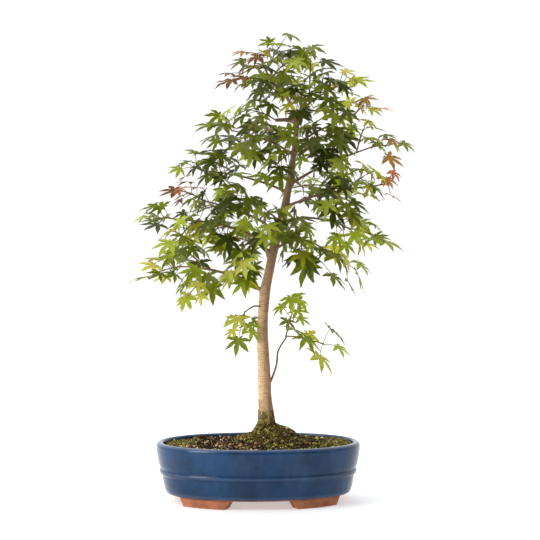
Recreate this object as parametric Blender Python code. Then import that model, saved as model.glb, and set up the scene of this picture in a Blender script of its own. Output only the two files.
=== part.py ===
"""A maple bonsai in an oval glazed pot.

Metres, +Z up. The tree stands in the middle of the pot, slightly right of its centre, and
leans to the right. The origin is on the ground under the middle of the whole outline, which is
a little to the right of the pot, because the crown reaches further out on that side.
"""

import math
import random
from collections import namedtuple

import bmesh
import bpy
from mathutils import Vector
from mathutils.bvhtree import BVHTree

# ---------------------------------------------------------------- driving dimensions
POT_AT = Vector((-0.0160, 0.0, 0.0))
POT_LENGTH = 0.260
POT_DEPTH = 0.200
OVAL_POWER = 2.15
POT_SIDES = 64
FLOOR_TOP = 0.0165
UNDERSIDE = 0.0102
GAP = 0.0003

# The pot's outer wall from the top of its lip down to its underside: how far in from the
# widest oval, and how high.
OUTER_WALL = (
    (0.0052, 0.0750),
    (0.0026, 0.0744),
    (0.0008, 0.0728),
    (0.0000, 0.0700),
    (0.0004, 0.0640),
    (0.0016, 0.0560),
    (0.0032, 0.0480),
    (0.0050, 0.0432),
    (0.0056, 0.0420),
    (0.0046, 0.0408),
    (0.0042, 0.0388),
    (0.0050, 0.0362),
    (0.0072, 0.0348),
    (0.0080, 0.0300),
    (0.0096, 0.0215),
    (0.0118, 0.0142),
    (0.0138, 0.0115),
    (0.0180, UNDERSIDE),
)
# The inner wall from the middle of the lip down to the floor.
INNER_WALL = (
    (0.0078, 0.0744),
    (0.0092, 0.0720),
    (0.0098, 0.0690),
    (0.0205, 0.0195),
    (0.0240, FLOOR_TOP),
)

FOOT_OUTSIDE = 0.0165
FOOT_INSIDE = 0.0310
FOOT_TURNS = (30.0, 72.0)
FOOT_TAPER = 3.5
FOOT_STEPS = 7
FOOT_SINK = 0.0012

DRAIN_RADIUS = 0.0100
DRAIN_SPACING = 0.110
MESH_SIDE = 0.036
MESH_THICK = 0.0012

TRUNK_FOOT = Vector((0.0105, 0.0, 0.0460))
SOIL_SIDES = 36
SOIL_RINGS = (0.0, 0.10, 0.24, 0.42, 0.64, 0.86, 1.0)
SOIL_EDGE = 0.0650
SOIL_DOME = 0.0180
SOIL_DOME_AT = Vector((0.0180, 0.0, 0.0))
SOIL_DOME_REACH = 0.050
MOUND_RISE = (0.0140, 0.0070, 0.0024)
MOUND_LEAN = 0.30
COLLAR_HEIGHT = 0.1060

# ---------------------------------------------------------------- the tree
Limb = namedtuple("Limb", "name thick thin points")
Spray = namedtuple("Spray", "limb along tip pairs leaf droop")
Leaf = namedtuple("Leaf", "root stalk forward right up length curl")
Shoot = namedtuple("Shoot", "rings leaves")

SEED = 41
TRUNK = (
    (0.0105, 0.000, 0.0460, 0.0150),
    (0.0105, 0.000, 0.0600, 0.0172),
    (0.0105, 0.000, 0.0720, 0.0150),
    (0.0105, 0.000, 0.0860, 0.0124),
    (0.0104, 0.000, 0.1010, 0.0108),
    (0.0096, 0.000, 0.1140, 0.0098),
    (0.0086, -0.001, 0.1280, 0.0089),
    (0.0077, -0.002, 0.1420, 0.0086),
    (0.0066, -0.003, 0.1750, 0.0078),
    (0.0050, -0.003, 0.2080, 0.0074),
    (0.0058, -0.002, 0.2320, 0.0068),
    (0.0078, -0.001, 0.2570, 0.0067),
    (0.0100, 0.000, 0.2730, 0.0064),
    (0.0150, 0.001, 0.2960, 0.0060),
    (0.0235, 0.002, 0.3370, 0.0060),
    (0.0290, 0.002, 0.3560, 0.0054),
    (0.0340, 0.001, 0.3730, 0.0051),
    (0.0400, -0.001, 0.4060, 0.0044),
    (0.0450, -0.002, 0.4400, 0.0037),
    (0.0485, -0.002, 0.4700, 0.0032),
    (0.0495, -0.001, 0.4860, 0.0032),
)
TRUNK_SIDES = 12
ROOT_LOBES = 5
ROOT_LOBE_DEPTH = 0.13
LIMB_SIDES = 6

LIMBS = (
    Limb("low_shoot", 0.0014, 0.0009, (
        (0.012, -0.002, 0.141), (0.0225, -0.004, 0.170), (0.0252, -0.006, 0.190), (0.036, -0.010, 0.209))),
    Limb("low_left", 0.0012, 0.0008, (
        (0.006, -0.002, 0.246), (-0.006, -0.012, 0.247), (-0.018, -0.018, 0.240))),
    Limb("left_1", 0.0024, 0.0011, (
        (0.008, 0.000, 0.264), (-0.018, -0.008, 0.281), (-0.055, -0.015, 0.292), (-0.088, -0.020, 0.297))),
    Limb("left_2", 0.0022, 0.0009, (
        (0.018, 0.001, 0.312), (-0.012, -0.014, 0.338), (-0.058, -0.022, 0.352), (-0.106, -0.016, 0.357))),
    Limb("left_3", 0.0022, 0.0009, (
        (0.0235, 0.002, 0.337), (0.002, 0.008, 0.357), (-0.035, 0.014, 0.372), (-0.072, 0.010, 0.383))),
    Limb("left_4", 0.0018, 0.0008, (
        (0.038, -0.001, 0.392), (0.010, 0.006, 0.404), (-0.030, 0.008, 0.415), (-0.070, 0.004, 0.420))),
    Limb("left_5", 0.0015, 0.0008, (
        (0.045, -0.002, 0.440), (0.020, -0.010, 0.454), (-0.010, -0.012, 0.464), (-0.034, -0.010, 0.470))),
    Limb("old_cut", 0.0027, 0.0023, (
        (0.0500, -0.001, 0.4830), (0.0370, -0.002, 0.4848), (0.0225, -0.003, 0.4842))),
    Limb("leader", 0.0025, 0.0010, (
        (0.0495, -0.001, 0.480), (0.0445, 0.002, 0.500), (0.033, 0.002, 0.518), (0.018, 0.000, 0.532),
        (0.010, -0.004, 0.546), (0.004, -0.006, 0.558))),
    Limb("right_top", 0.0017, 0.0008, (
        (0.0492, -0.001, 0.484), (0.060, -0.004, 0.500), (0.074, -0.006, 0.513), (0.092, -0.004, 0.522))),
    Limb("right_5", 0.0016, 0.0008, (
        (0.0465, -0.002, 0.452), (0.074, 0.008, 0.470), (0.106, 0.010, 0.485), (0.126, 0.008, 0.495))),
    Limb("right_4", 0.0020, 0.0008, (
        (0.0395, -0.001, 0.402), (0.076, -0.006, 0.423), (0.112, -0.008, 0.438), (0.144, -0.006, 0.450))),
    Limb("right_3", 0.0018, 0.0008, (
        (0.0345, 0.001, 0.374), (0.074, -0.014, 0.388), (0.115, -0.014, 0.396), (0.152, -0.010, 0.401))),
    Limb("right_2", 0.0018, 0.0008, (
        (0.0270, 0.002, 0.350), (0.058, 0.008, 0.360), (0.092, 0.006, 0.356), (0.118, 0.000, 0.346))),
    Limb("right_1", 0.0018, 0.0008, (
        (0.0200, 0.001, 0.320), (0.044, -0.016, 0.330), (0.066, -0.022, 0.328), (0.086, -0.022, 0.317))),
    Limb("back_1", 0.0019, 0.0008, (
        (0.0150, 0.001, 0.300), (0.010, 0.032, 0.322), (0.000, 0.066, 0.334))),
    Limb("back_2", 0.0018, 0.0008, (
        (0.0350, 0.001, 0.378), (0.044, 0.032, 0.398), (0.052, 0.064, 0.410))),
    Limb("back_3", 0.0014, 0.0008, (
        (0.0460, -0.002, 0.448), (0.040, 0.026, 0.466), (0.030, 0.050, 0.476))),
    Limb("front_1", 0.0018, 0.0008, (
        (0.0250, 0.002, 0.343), (0.018, -0.034, 0.360), (0.004, -0.066, 0.364))),
    Limb("front_2", 0.0015, 0.0008, (
        (0.0435, -0.002, 0.430), (0.050, -0.030, 0.446), (0.055, -0.054, 0.452))),
)

# Each leafy shoot: the limb that carries it and how far along, where the shoot ends, how many
# pairs of leaves it has below its end leaf, how long its leaves are and how steeply they hang.
SPRAYS = (
    # top of the crown
    Spray("leader", 1.00, (-0.006, -0.008, 0.567), 3, 0.021, 9),
    Spray("leader", 0.80, (0.026, -0.012, 0.576), 3, 0.020, 10),
    Spray("leader", 0.66, (0.034, -0.036, 0.552), 5, 0.022, 30),
    Spray("leader", 0.92, (-0.022, 0.010, 0.544), 3, 0.021, 21),
    Spray("right_top", 0.45, (0.066, -0.014, 0.558), 4, 0.023, 19),
    Spray("right_top", 1.00, (0.110, -0.004, 0.532), 3, 0.022, 20),
    Spray("right_top", 0.75, (0.080, -0.038, 0.524), 5, 0.024, 31),
    Spray("old_cut", 1.00, (-0.004, -0.014, 0.494), 3, 0.023, 22),
    Spray("leader", 0.30, (0.046, -0.044, 0.506), 6, 0.024, 36),
    Spray("leader", 0.50, (0.050, 0.038, 0.534), 4, 0.023, 19),
    Spray("leader", 0.42, (0.004, -0.034, 0.520), 4, 0.023, 33),
    # right side
    Spray("right_5", 1.00, (0.136, 0.002, 0.504), 3, 0.021, 15),
    Spray("right_5", 0.62, (0.096, -0.026, 0.488), 5, 0.023, 31),
    Spray("right_4", 1.00, (0.165, -0.006, 0.452), 3, 0.022, 24),
    Spray("right_4", 0.80, (0.136, 0.008, 0.474), 3, 0.022, 16),
    Spray("right_4", 0.45, (0.094, -0.040, 0.448), 6, 0.025, 36),
    Spray("right_3", 1.00, (0.166, -0.012, 0.402), 2, 0.018, 27),
    Spray("right_3", 0.66, (0.130, -0.034, 0.410), 5, 0.023, 28),
    Spray("right_3", 0.42, (0.098, -0.050, 0.382), 6, 0.024, 38),
    Spray("right_2", 1.00, (0.144, -0.008, 0.338), 3, 0.023, 20),
    Spray("right_2", 0.62, (0.110, -0.030, 0.346), 5, 0.025, 38),
    Spray("right_1", 1.00, (0.072, -0.042, 0.306), 2, 0.030, 58),
    Spray("right_1", 0.85, (0.112, -0.010, 0.300), 2, 0.025, 48),
    Spray("right_1", 0.45, (0.052, -0.048, 0.318), 3, 0.025, 46),
    # left side
    Spray("left_5", 1.00, (-0.042, -0.012, 0.478), 4, 0.023, 19),
    Spray("left_5", 0.50, (-0.008, -0.044, 0.454), 6, 0.024, 34),
    Spray("left_4", 1.00, (-0.084, 0.002, 0.424), 3, 0.021, 9),
    Spray("left_4", 0.66, (-0.052, -0.030, 0.424), 6, 0.023, 26),
    Spray("left_3", 1.00, (-0.092, 0.002, 0.392), 3, 0.020, 12),
    Spray("left_3", 0.74, (-0.076, -0.024, 0.366), 5, 0.022, 30),
    Spray("left_3", 0.50, (-0.034, -0.040, 0.388), 6, 0.024, 36),
    Spray("left_2", 1.00, (-0.128, -0.014, 0.358), 3, 0.022, 7),
    Spray("left_2", 0.80, (-0.098, -0.042, 0.336), 5, 0.024, 34),
    Spray("left_2", 0.45, (-0.054, -0.058, 0.344), 6, 0.025, 38),
    Spray("left_1", 1.00, (-0.122, -0.018, 0.292), 3, 0.022, 15),
    Spray("left_1", 0.80, (-0.094, 0.012, 0.318), 4, 0.023, 19),
    Spray("left_1", 0.66, (-0.080, -0.042, 0.272), 5, 0.022, 48),
    Spray("left_1", 0.35, (-0.020, -0.048, 0.296), 6, 0.023, 41),
    # towards the front and the back
    Spray("front_1", 1.00, (0.004, -0.080, 0.350), 6, 0.025, 41),
    Spray("front_1", 0.50, (0.036, -0.060, 0.340), 6, 0.025, 41),
    Spray("front_2", 1.00, (0.056, -0.074, 0.452), 6, 0.024, 39),
    Spray("front_2", 0.72, (0.086, -0.062, 0.420), 6, 0.024, 38),
    Spray("front_2", 0.50, (0.020, -0.054, 0.424), 5, 0.024, 39),
    Spray("back_1", 1.00, (-0.010, 0.079, 0.330), 4, 0.025, 21),
    Spray("back_1", 0.60, (-0.058, 0.060, 0.336), 3, 0.025, 20),
    Spray("back_2", 1.00, (0.064, 0.070, 0.402), 4, 0.025, 21),
    Spray("back_2", 0.60, (0.100, 0.050, 0.402), 4, 0.025, 21),
    Spray("back_3", 1.00, (0.012, 0.074, 0.478), 4, 0.024, 19),
    Spray("back_3", 0.55, (-0.032, 0.046, 0.450), 4, 0.024, 19),
    # the two low shoots on the bare trunk
    Spray("low_shoot", 1.00, (0.084, -0.016, 0.198), 2, 0.027, 46),
    Spray("low_shoot", 0.93, (0.044, -0.012, 0.242), 3, 0.022, 34),
    Spray("low_left", 1.00, (-0.022, -0.026, 0.224), 3, 0.021, 46),
)

SHOOT_RADII = (0.0011, 0.0008)
SHOOT_ARCH = 0.12
FIRST_PAIR = 0.42
NODE_LENGTH = 0.0018
STALK_HALF = 0.00045
LEAF_HALF_THICK = 0.0005
# The leaf's outline from its right side to its left: turn from the midrib, and reach.
LEAF_STAR = (
    (96, 0.72), (70, 0.25), (47, 0.94), (23, 0.28), (0, 1.00),
    (-23, 0.28), (-47, 0.94), (-70, 0.25), (-96, 0.72),
)
LEAF_HEART = 0.14
CLEARANCE = 0.0004
TRIES = 30


# ---------------------------------------------------------------- small helpers
def clear_scene():
    for obj in list(bpy.data.objects):
        bpy.data.objects.remove(obj, do_unlink=True)


def material(name, colour, roughness, metallic=0.0):
    made = bpy.data.materials.new(name)
    made.use_nodes = True
    shader = made.node_tree.nodes["Principled BSDF"]
    shader.inputs["Base Color"].default_value = (*colour, 1.0)
    shader.inputs["Roughness"].default_value = roughness
    shader.inputs["Metallic"].default_value = metallic
    return made


def object_from(bm, name, finish, smooth_below=40):
    """A new object from a bmesh, with its faces turned outwards."""
    bmesh.ops.recalc_face_normals(bm, faces=bm.faces)
    mesh = bpy.data.meshes.new(name)
    bm.to_mesh(mesh)
    bm.free()
    mesh.materials.append(finish)
    mesh.shade_smooth()
    mesh.set_sharp_from_angle(angle=math.radians(smooth_below))
    obj = bpy.data.objects.new(name, mesh)
    bpy.context.scene.collection.objects.link(obj)
    return obj


def hide_helper(obj):
    obj.hide_render = True
    obj.display_type = "WIRE"


def cut(obj, cutter):
    hide_helper(cutter)
    modifier = obj.modifiers.new("cut_" + cutter.name, "BOOLEAN")
    modifier.operation = "DIFFERENCE"
    modifier.object = cutter


def join(obj, other):
    hide_helper(other)
    modifier = obj.modifiers.new("join_" + other.name, "BOOLEAN")
    modifier.operation = "UNION"
    modifier.object = other


def lofted(rings):
    """A closed skin over rings of equal length, with a flat cap on the first and the last."""
    bm = bmesh.new()
    loops = [[bm.verts.new(point) for point in ring] for ring in rings]
    for low, high in zip(loops, loops[1:]):
        for i in range(len(low)):
            j = (i + 1) % len(low)
            bm.faces.new((low[i], low[j], high[j], high[i]))
    bm.faces.new(loops[0][::-1])
    bm.faces.new(loops[-1])
    return bm


def oval_point(turn, inset, height):
    """A point of the pot's oval, drawn in by inset, at a turn in radians."""
    across, along = math.cos(turn), math.sin(turn)
    power = 2 / OVAL_POWER
    x = math.copysign(abs(across) ** power, across) * (POT_LENGTH / 2 - inset)
    y = math.copysign(abs(along) ** power, along) * (POT_DEPTH / 2 - inset)
    return POT_AT + Vector((x, y, height))


def oval_ring(inset, height, sides=POT_SIDES):
    return [oval_point(2 * math.pi * i / sides, inset, height) for i in range(sides)]


# ---------------------------------------------------------------- pot
def foot_block(turn_from, turn_to):
    """One foot: a curved block under the oval's edge that narrows towards the ground."""
    rings = []
    for i in range(FOOT_STEPS + 1):
        share = i / FOOT_STEPS
        top_turn = math.radians(turn_from + (turn_to - turn_from) * share)
        taper = math.copysign(FOOT_TAPER, turn_to - turn_from)
        low_turn = math.radians(turn_from + taper + (turn_to - turn_from - 2 * taper) * share)
        rings.append([
            oval_point(top_turn, FOOT_OUTSIDE - 0.0012, UNDERSIDE + FOOT_SINK),
            oval_point(low_turn, FOOT_OUTSIDE, 0.0),
            oval_point(low_turn, FOOT_INSIDE, 0.0),
            oval_point(top_turn, FOOT_INSIDE + 0.0012, UNDERSIDE + FOOT_SINK),
        ])
    return lofted(rings)


def make_pot(glaze, clay):
    rings = [oval_ring(inset, height) for inset, height in reversed(INNER_WALL)]
    rings += [oval_ring(inset, height) for inset, height in OUTER_WALL]
    pot = object_from(lofted(rings), "pot", glaze, 32)
    pot.data.materials.append(clay)
    low, high = FOOT_TURNS
    corners = ((low, high), (180 - high, 180 - low), (180 + low, 180 + high), (360 - high, 360 - low))
    for number, (turn_from, turn_to) in enumerate(corners, 1):
        join(pot, object_from(foot_block(turn_from, turn_to), f"foot_{number}", clay))
    for side in (-1, 1):
        bpy.ops.mesh.primitive_cylinder_add(
            vertices=24,
            radius=DRAIN_RADIUS,
            depth=4 * FLOOR_TOP,
            location=POT_AT + Vector((side * DRAIN_SPACING / 2, 0, FLOOR_TOP)),
        )
        drill = bpy.context.object
        drill.name = "drain_drill"
        cut(pot, drill)
    return pot


# ---------------------------------------------------------------- soil, moss and drainage mesh
def trunk_ring(sides, row):
    """The trunk's own section at one of its stations."""
    x, y, height, radius = TRUNK[row]
    fade = max(0.0, 1.0 - row / 6)
    ring = []
    for i in range(sides):
        turn = 2 * math.pi * i / sides
        reach = radius * (1 + ROOT_LOBE_DEPTH * fade * math.cos(ROOT_LOBES * turn))
        ring.append(POT_AT + Vector((x + reach * math.cos(turn), y + reach * math.sin(turn), height)))
    return ring


def soil_height(x, y):
    """The soil rises from the pot's wall to a dome just right of the trunk, a little unevenly."""
    out = math.hypot(x - POT_AT.x - SOIL_DOME_AT.x, y - SOIL_DOME_AT.y)
    dome = SOIL_DOME * math.exp(-((out / SOIL_DOME_REACH) ** 2))
    ripple = 0.0008 * math.sin(70 * x + 1.3) * math.cos(85 * y)
    return SOIL_EDGE + dome + ripple


def soil_point(sector, ring, lift=0.0):
    """A point of the soil's top, from the trunk's hole outwards to the wall."""
    turn = 2 * math.pi * sector / SOIL_SIDES
    hole = TRUNK[1][3] * (1 + ROOT_LOBE_DEPTH) + 2 * GAP
    near = POT_AT + TRUNK_FOOT + Vector((hole * math.cos(turn), hole * math.sin(turn), 0))
    wall = oval_point(turn, wall_inset(SOIL_EDGE) + GAP, 0)
    spot = near.lerp(wall, SOIL_RINGS[ring])
    return Vector((spot.x, spot.y, soil_height(spot.x, spot.y) + lift))


def wall_inset(height):
    """How far in the pot's inner wall is at a height."""
    (high_in, high), (low_in, low) = INNER_WALL[2], INNER_WALL[3]
    return high_in + (low_in - high_in) * (high - height) / (high - low)


def soil_ring(ring, lift=0.0):
    return [soil_point(sector, ring, lift) for sector in range(SOIL_SIDES)]


def make_soil(finish):
    bottom = FLOOR_TOP + 2 * GAP
    low = [oval_point(2 * math.pi * i / SOIL_SIDES, INNER_WALL[4][0] + GAP, bottom) for i in range(SOIL_SIDES)]
    corner_height = INNER_WALL[3][1] + GAP
    corner = oval_ring(INNER_WALL[3][0] + 2 * GAP, corner_height, SOIL_SIDES)
    socket = soil_ring(0)
    hole_floor = [Vector((p.x, p.y, TRUNK_FOOT.z - 2 * GAP)) for p in socket]
    rings = [low, corner]
    rings += [soil_ring(ring) for ring in reversed(range(len(SOIL_RINGS)))]
    rings.append(hole_floor)
    soil = object_from(lofted(rings), "soil", finish, 50)
    for side in (-1, 1):
        pocket = MESH_SIDE + 4 * GAP
        bpy.ops.mesh.primitive_cube_add(
            size=1, location=POT_AT + Vector((side * DRAIN_SPACING / 2, 0, FLOOR_TOP))
        )
        cutter = bpy.context.object
        cutter.name = "mesh_pocket"
        cutter.scale = (pocket, pocket, 2 * (MESH_THICK + 3 * GAP))
        cut(soil, cutter)
    return soil


def make_drainage_mesh(name, side, finish):
    bm = bmesh.new()
    bmesh.ops.create_cube(bm, size=1)
    bmesh.ops.scale(bm, vec=(MESH_SIDE, MESH_SIDE, MESH_THICK), verts=bm.verts)
    centre = Vector((side * DRAIN_SPACING / 2, 0, FLOOR_TOP + GAP + MESH_THICK / 2))
    bmesh.ops.translate(bm, vec=POT_AT + centre, verts=bm.verts)
    return object_from(bm, name, finish)


def make_mound(finish):
    """The moss that wraps the foot of the trunk, lying on the soil like a collar."""
    under = [soil_ring(ring, 2 * GAP) for ring in range(len(MOUND_RISE))]
    hole = trunk_collar()
    top = []
    for ring, rise in enumerate(MOUND_RISE):
        level = []
        for sector in range(SOIL_SIDES):
            turn = 2 * math.pi * sector / SOIL_SIDES
            uneven = 1 + MOUND_LEAN * math.cos(turn - 0.4) + 0.12 * math.sin(5 * turn + ring)
            level.append(soil_point(sector, ring, rise * uneven))
        top.append(level)
    bm = bmesh.new()
    rows = [*under, *reversed(top), hole]
    loops = [[bm.verts.new(point) for point in row] for row in rows]
    for low, high in zip(loops, loops[1:] + loops[:1]):
        for i in range(SOIL_SIDES):
            j = (i + 1) % SOIL_SIDES
            bm.faces.new((low[i], low[j], high[j], high[i]))
    return object_from(bm, "moss_mound", finish, 60)


def trunk_collar():
    """Where the mound's top edge meets the trunk, just clear of the bark."""
    x, y, _, radius = TRUNK[4]
    reach = radius + 3 * GAP
    collar = []
    for i in range(SOIL_SIDES):
        turn = 2 * math.pi * i / SOIL_SIDES
        collar.append(POT_AT + Vector((x + reach * math.cos(turn), y + reach * math.sin(turn), COLLAR_HEIGHT)))
    return collar


def make_cushion(name, sectors, rings, rise, finish):
    """A low cushion of moss over a patch of the soil's own grid."""
    bm = bmesh.new()
    last_sector, last_ring = len(sectors) - 1, len(rings) - 1

    def grid(lift):
        rows = []
        for j, ring in enumerate(rings):
            row = []
            for i, sector in enumerate(sectors):
                edge = min(i, last_sector - i, j, last_ring - j)
                swell = rise if edge and lift else 0.0015 * bool(lift)
                row.append(bm.verts.new(soil_point(sector, ring, 2 * GAP + swell)))
            rows.append(row)
        return rows

    low, high = grid(False), grid(True)
    for grid_rows in (low, high):
        for near, far in zip(grid_rows, grid_rows[1:]):
            for i in range(last_sector):
                bm.faces.new((near[i], near[i + 1], far[i + 1], far[i]))

    def rim(rows):
        return (
            rows[0] + [row[-1] for row in rows[1:]]
            + rows[-1][-2::-1] + [row[0] for row in rows[-2:0:-1]]
        )

    lower, upper = rim(low), rim(high)
    for i in range(len(lower)):
        j = (i + 1) % len(lower)
        bm.faces.new((lower[i], lower[j], upper[j], upper[i]))
    return object_from(bm, name, finish, 60)


# ---------------------------------------------------------------- wood
def tube_rings(points, radii, sides):
    """Rings square to a path of points, turned as little as possible from one to the next."""
    side = Vector((1, 0, 0))
    rings = []
    for i, (point, radius) in enumerate(zip(points, radii)):
        ahead = points[min(i + 1, len(points) - 1)] - points[max(i - 1, 0)]
        ahead.normalize()
        side = (side - ahead * side.dot(ahead)).normalized()
        other = ahead.cross(side)
        ring = []
        for k in range(sides):
            turn = 2 * math.pi * k / sides
            ring.append(point + (side * math.cos(turn) + other * math.sin(turn)) * radius)
        rings.append(ring)
    return rings


def smooth_path(points, steps):
    """A Catmull-Rom curve through the points, with so many steps between each two."""
    spots = [Vector(p) for p in points]
    spots = [2 * spots[0] - spots[1], *spots, 2 * spots[-1] - spots[-2]]
    path = []
    for a, b, c, d in zip(spots, spots[1:], spots[2:], spots[3:]):
        for k in range(steps):
            t = k / steps
            path.append(0.5 * (2 * b + (c - a) * t + (2 * a - 5 * b + 4 * c - d) * t**2
                               + (3 * b - a - 3 * c + d) * t**3))
    path.append(spots[-2])
    return path


def limb_path(limb):
    path = [POT_AT + p for p in smooth_path(limb.points, 3)]
    last = len(path) - 1
    radii = [limb.thick + (limb.thin - limb.thick) * i / last for i in range(last + 1)]
    return path, radii


def limb_rings(limb):
    return tube_rings(*limb_path(limb), LIMB_SIDES)


def trunk_rings():
    return [trunk_ring(TRUNK_SIDES, row) for row in range(len(TRUNK))]


def make_wood(finish):
    wood = object_from(lofted(trunk_rings()), "trunk_and_branches", finish, 60)
    for limb in LIMBS:
        join(wood, object_from(lofted(limb_rings(limb)), limb.name, finish))
    return wood


# ---------------------------------------------------------------- growth of the leafy shoots
class Room:
    """What already takes up room, so that no new leaf or shoot grows through it."""

    def __init__(self):
        self.taken = []

    @staticmethod
    def shape(points, faces):
        middle = sum(points, Vector()) / len(points)
        reach = max((p - middle).length for p in points)
        return middle, reach, BVHTree.FromPolygons(points, faces)

    def free(self, shapes):
        for middle, reach, tree in shapes:
            for other_middle, other_reach, other in self.taken:
                if (middle - other_middle).length < reach + other_reach and tree.overlap(other):
                    return False
        return True

    def take(self, shapes):
        self.taken += shapes


def skin(rings):
    """The points and faces of a closed tube over rings, for Room."""
    sides = len(rings[0])
    points = [p for ring in rings for p in ring]
    faces = [tuple(range(sides)), tuple(range(len(points) - sides, len(points)))]
    for r in range(len(rings) - 1):
        for i in range(sides):
            j = (i + 1) % sides
            faces.append((r * sides + i, r * sides + j, (r + 1) * sides + j, (r + 1) * sides + i))
    return points, faces


def frame_along(ahead):
    """Right and up for a direction, with right kept level."""
    level = Vector((0, 0, 1)) if abs(ahead.z) < 0.97 else Vector((0, 1, 0))
    right = ahead.cross(level).normalized()
    return right, right.cross(ahead)


def square(centre, right, up, half):
    return [
        centre + right * half + up * half,
        centre - right * half + up * half,
        centre - right * half - up * half,
        centre + right * half - up * half,
    ]


def shoot_rings(start, tip, arch, pairs, extra=0.0):
    """Square rings along an arched shoot, two close together where each pair of leaves grows."""
    bend = start.lerp(tip, 0.5) + arch
    length = (tip - start).length
    stations = [0.0]
    for pair in range(pairs):
        at = FIRST_PAIR + (0.94 - FIRST_PAIR) * pair / max(pairs - 1, 1) if pairs > 1 else 0.62
        stations += [at - NODE_LENGTH / 2 / length, at + NODE_LENGTH / 2 / length]
    stations.append(1.0)
    rings = []
    for t in stations:
        spot = start * (1 - t) ** 2 + bend * 2 * t * (1 - t) + tip * t**2
        ahead = ((bend - start) * (1 - t) + (tip - bend) * t).normalized()
        right, up = frame_along(ahead)
        half = SHOOT_RADII[0] + (SHOOT_RADII[1] - SHOOT_RADII[0]) * t + extra
        rings.append(square(spot, right, up, half))
    return rings


def place_shoot(spray, room, rng):
    """The shoot's rings, its foot moved out until it just clears the bark."""
    limb = next(limb for limb in LIMBS if limb.name == spray.limb)
    path, _ = limb_path(limb)
    where = spray.along * (len(path) - 1)
    low = min(int(where), len(path) - 2)
    axis = path[low].lerp(path[low + 1], where - low)
    tip = POT_AT + Vector(spray.tip)
    away = (tip - axis).normalized()
    rings = None
    for attempt in range(TRIES):
        arch = Vector((rng.uniform(-1, 1), rng.uniform(-1, 1), rng.uniform(-1, 1))) * 0.012 * (attempt > 0)
        arch.z += SHOOT_ARCH * (tip - axis).length
        start = axis.copy()
        for _ in range(24):
            rings = shoot_rings(start, tip, arch, spray.pairs, CLEARANCE)
            if room.free([room.shape(*skin(rings))]):
                room.take([room.shape(*skin(rings))])
                return shoot_rings(start, tip, arch, spray.pairs)
            start += away * 0.0004
    raise ValueError(f"no way clear for the shoot on {spray.limb} to {spray.tip}")


def star_points(leaf, grow=1.0):
    """The leaf's outline, its lobes hanging below its heart."""
    points = []
    for turn, reach in LEAF_STAR:
        ahead = math.cos(math.radians(turn)) * reach * leaf.length * grow
        aside = math.sin(math.radians(turn)) * reach * leaf.length * grow
        sag = leaf.curl * leaf.length * reach**2
        points.append(leaf.stalk + leaf.forward * ahead + leaf.right * aside - leaf.up * sag)
    return points


def leaf_shapes(leaf):
    """The leaf's blade and stalk, a little larger than they are, for Room."""
    outline = star_points(leaf, 1.04)
    heart = leaf.stalk + leaf.forward * LEAF_HEART * leaf.length
    thick = leaf.up * (LEAF_HALF_THICK + CLEARANCE)
    points = [heart + thick, heart - thick, leaf.stalk + thick, leaf.stalk - thick, *outline]
    last = len(points) - 1
    faces = []
    for i in range(4, last):
        faces += [(0, i, i + 1), (1, i + 1, i)]
    faces += [(0, 2, 4), (0, last, 2), (1, 4, 3), (1, 3, last), (2, 3, 4), (2, last, 3)]
    along = (leaf.stalk - leaf.root).normalized()
    right, up = frame_along(along)
    half = STALK_HALF + CLEARANCE
    stalk = [square(p, right, up, half) for p in (leaf.root + along * 0.003, leaf.stalk)]
    return [Room.shape(points, faces), Room.shape(*skin(stalk))]


def grow_leaf(root, out, ahead, spray, room, rng):
    """One leaf on its stalk: turned, tipped and shortened until it finds room, or None."""
    for attempt in range(TRIES):
        wild = 1 + attempt / 12
        swing = rng.uniform(-0.35, 0.35) * wild
        lift = rng.uniform(-0.15, 0.35) * wild
        stalk_length = spray.leaf * rng.uniform(0.50, 1.05)
        length = spray.leaf * rng.uniform(0.80, 1.26) * 0.985**attempt
        droop = math.radians(spray.droop + rng.uniform(-24, 24) * wild)
        roll = rng.uniform(-0.60, 0.60) * wild
        curl = rng.uniform(0.05, 0.20)
        direction = (out + ahead * swing + Vector((0, 0, lift))).normalized()
        stalk = root + direction * stalk_length
        level = direction + ahead * 0.35
        level.z = 0
        level.normalize()
        forward = level * math.cos(droop) - Vector((0, 0, math.sin(droop)))
        right = forward.cross(Vector((0, 0, 1))).normalized()
        up = right.cross(forward)
        right, up = (
            right * math.cos(roll) - up * math.sin(roll),
            up * math.cos(roll) + right * math.sin(roll),
        )
        leaf = Leaf(root, stalk, forward, right, up, length, curl)
        shapes = leaf_shapes(leaf)
        if room.free(shapes):
            room.take(shapes)
            return leaf
    return None


def grow_sprays():
    """Every shoot with its leaves, keyed by the ring that each leaf grows from and its face."""
    rng = random.Random(SEED)
    room = Room()
    room.take([room.shape(*skin(trunk_rings()))])
    room.take([room.shape(*skin(limb_rings(limb))) for limb in LIMBS])
    all_rings = [place_shoot(spray, room, rng) for spray in SPRAYS]
    shoots = []
    for spray, rings in zip(SPRAYS, all_rings):
        leaves = {}
        end = rings[-1]
        centre = sum(end, Vector()) / 4
        ahead = (centre - sum(rings[-2], Vector()) / 4).normalized()
        leaves["end"] = grow_leaf(centre, ahead, Vector(), spray, room, rng)
        for pair in reversed(range(spray.pairs)):
            ring = 1 + 2 * pair
            near, far = rings[ring], rings[ring + 1]
            centre = (sum(near, Vector()) + sum(far, Vector())) / 8
            ahead = (sum(far, Vector()) - sum(near, Vector())).normalized()
            right = (near[0] - near[1]).normalized()
            up = (near[0] - near[3]).normalized()
            across, turned = (up, right) if pair % 2 else (right, up)
            for side, face in zip((1, -1), (0, 2) if pair % 2 else (3, 1)):
                out = (across * side * 0.8 + ahead * 0.6 + turned * rng.uniform(-0.5, 0.5)).normalized()
                leaves[ring, face] = grow_leaf(centre, out, ahead, spray, room, rng)
        shoots.append(Shoot(rings, leaves))
    return shoots


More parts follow.
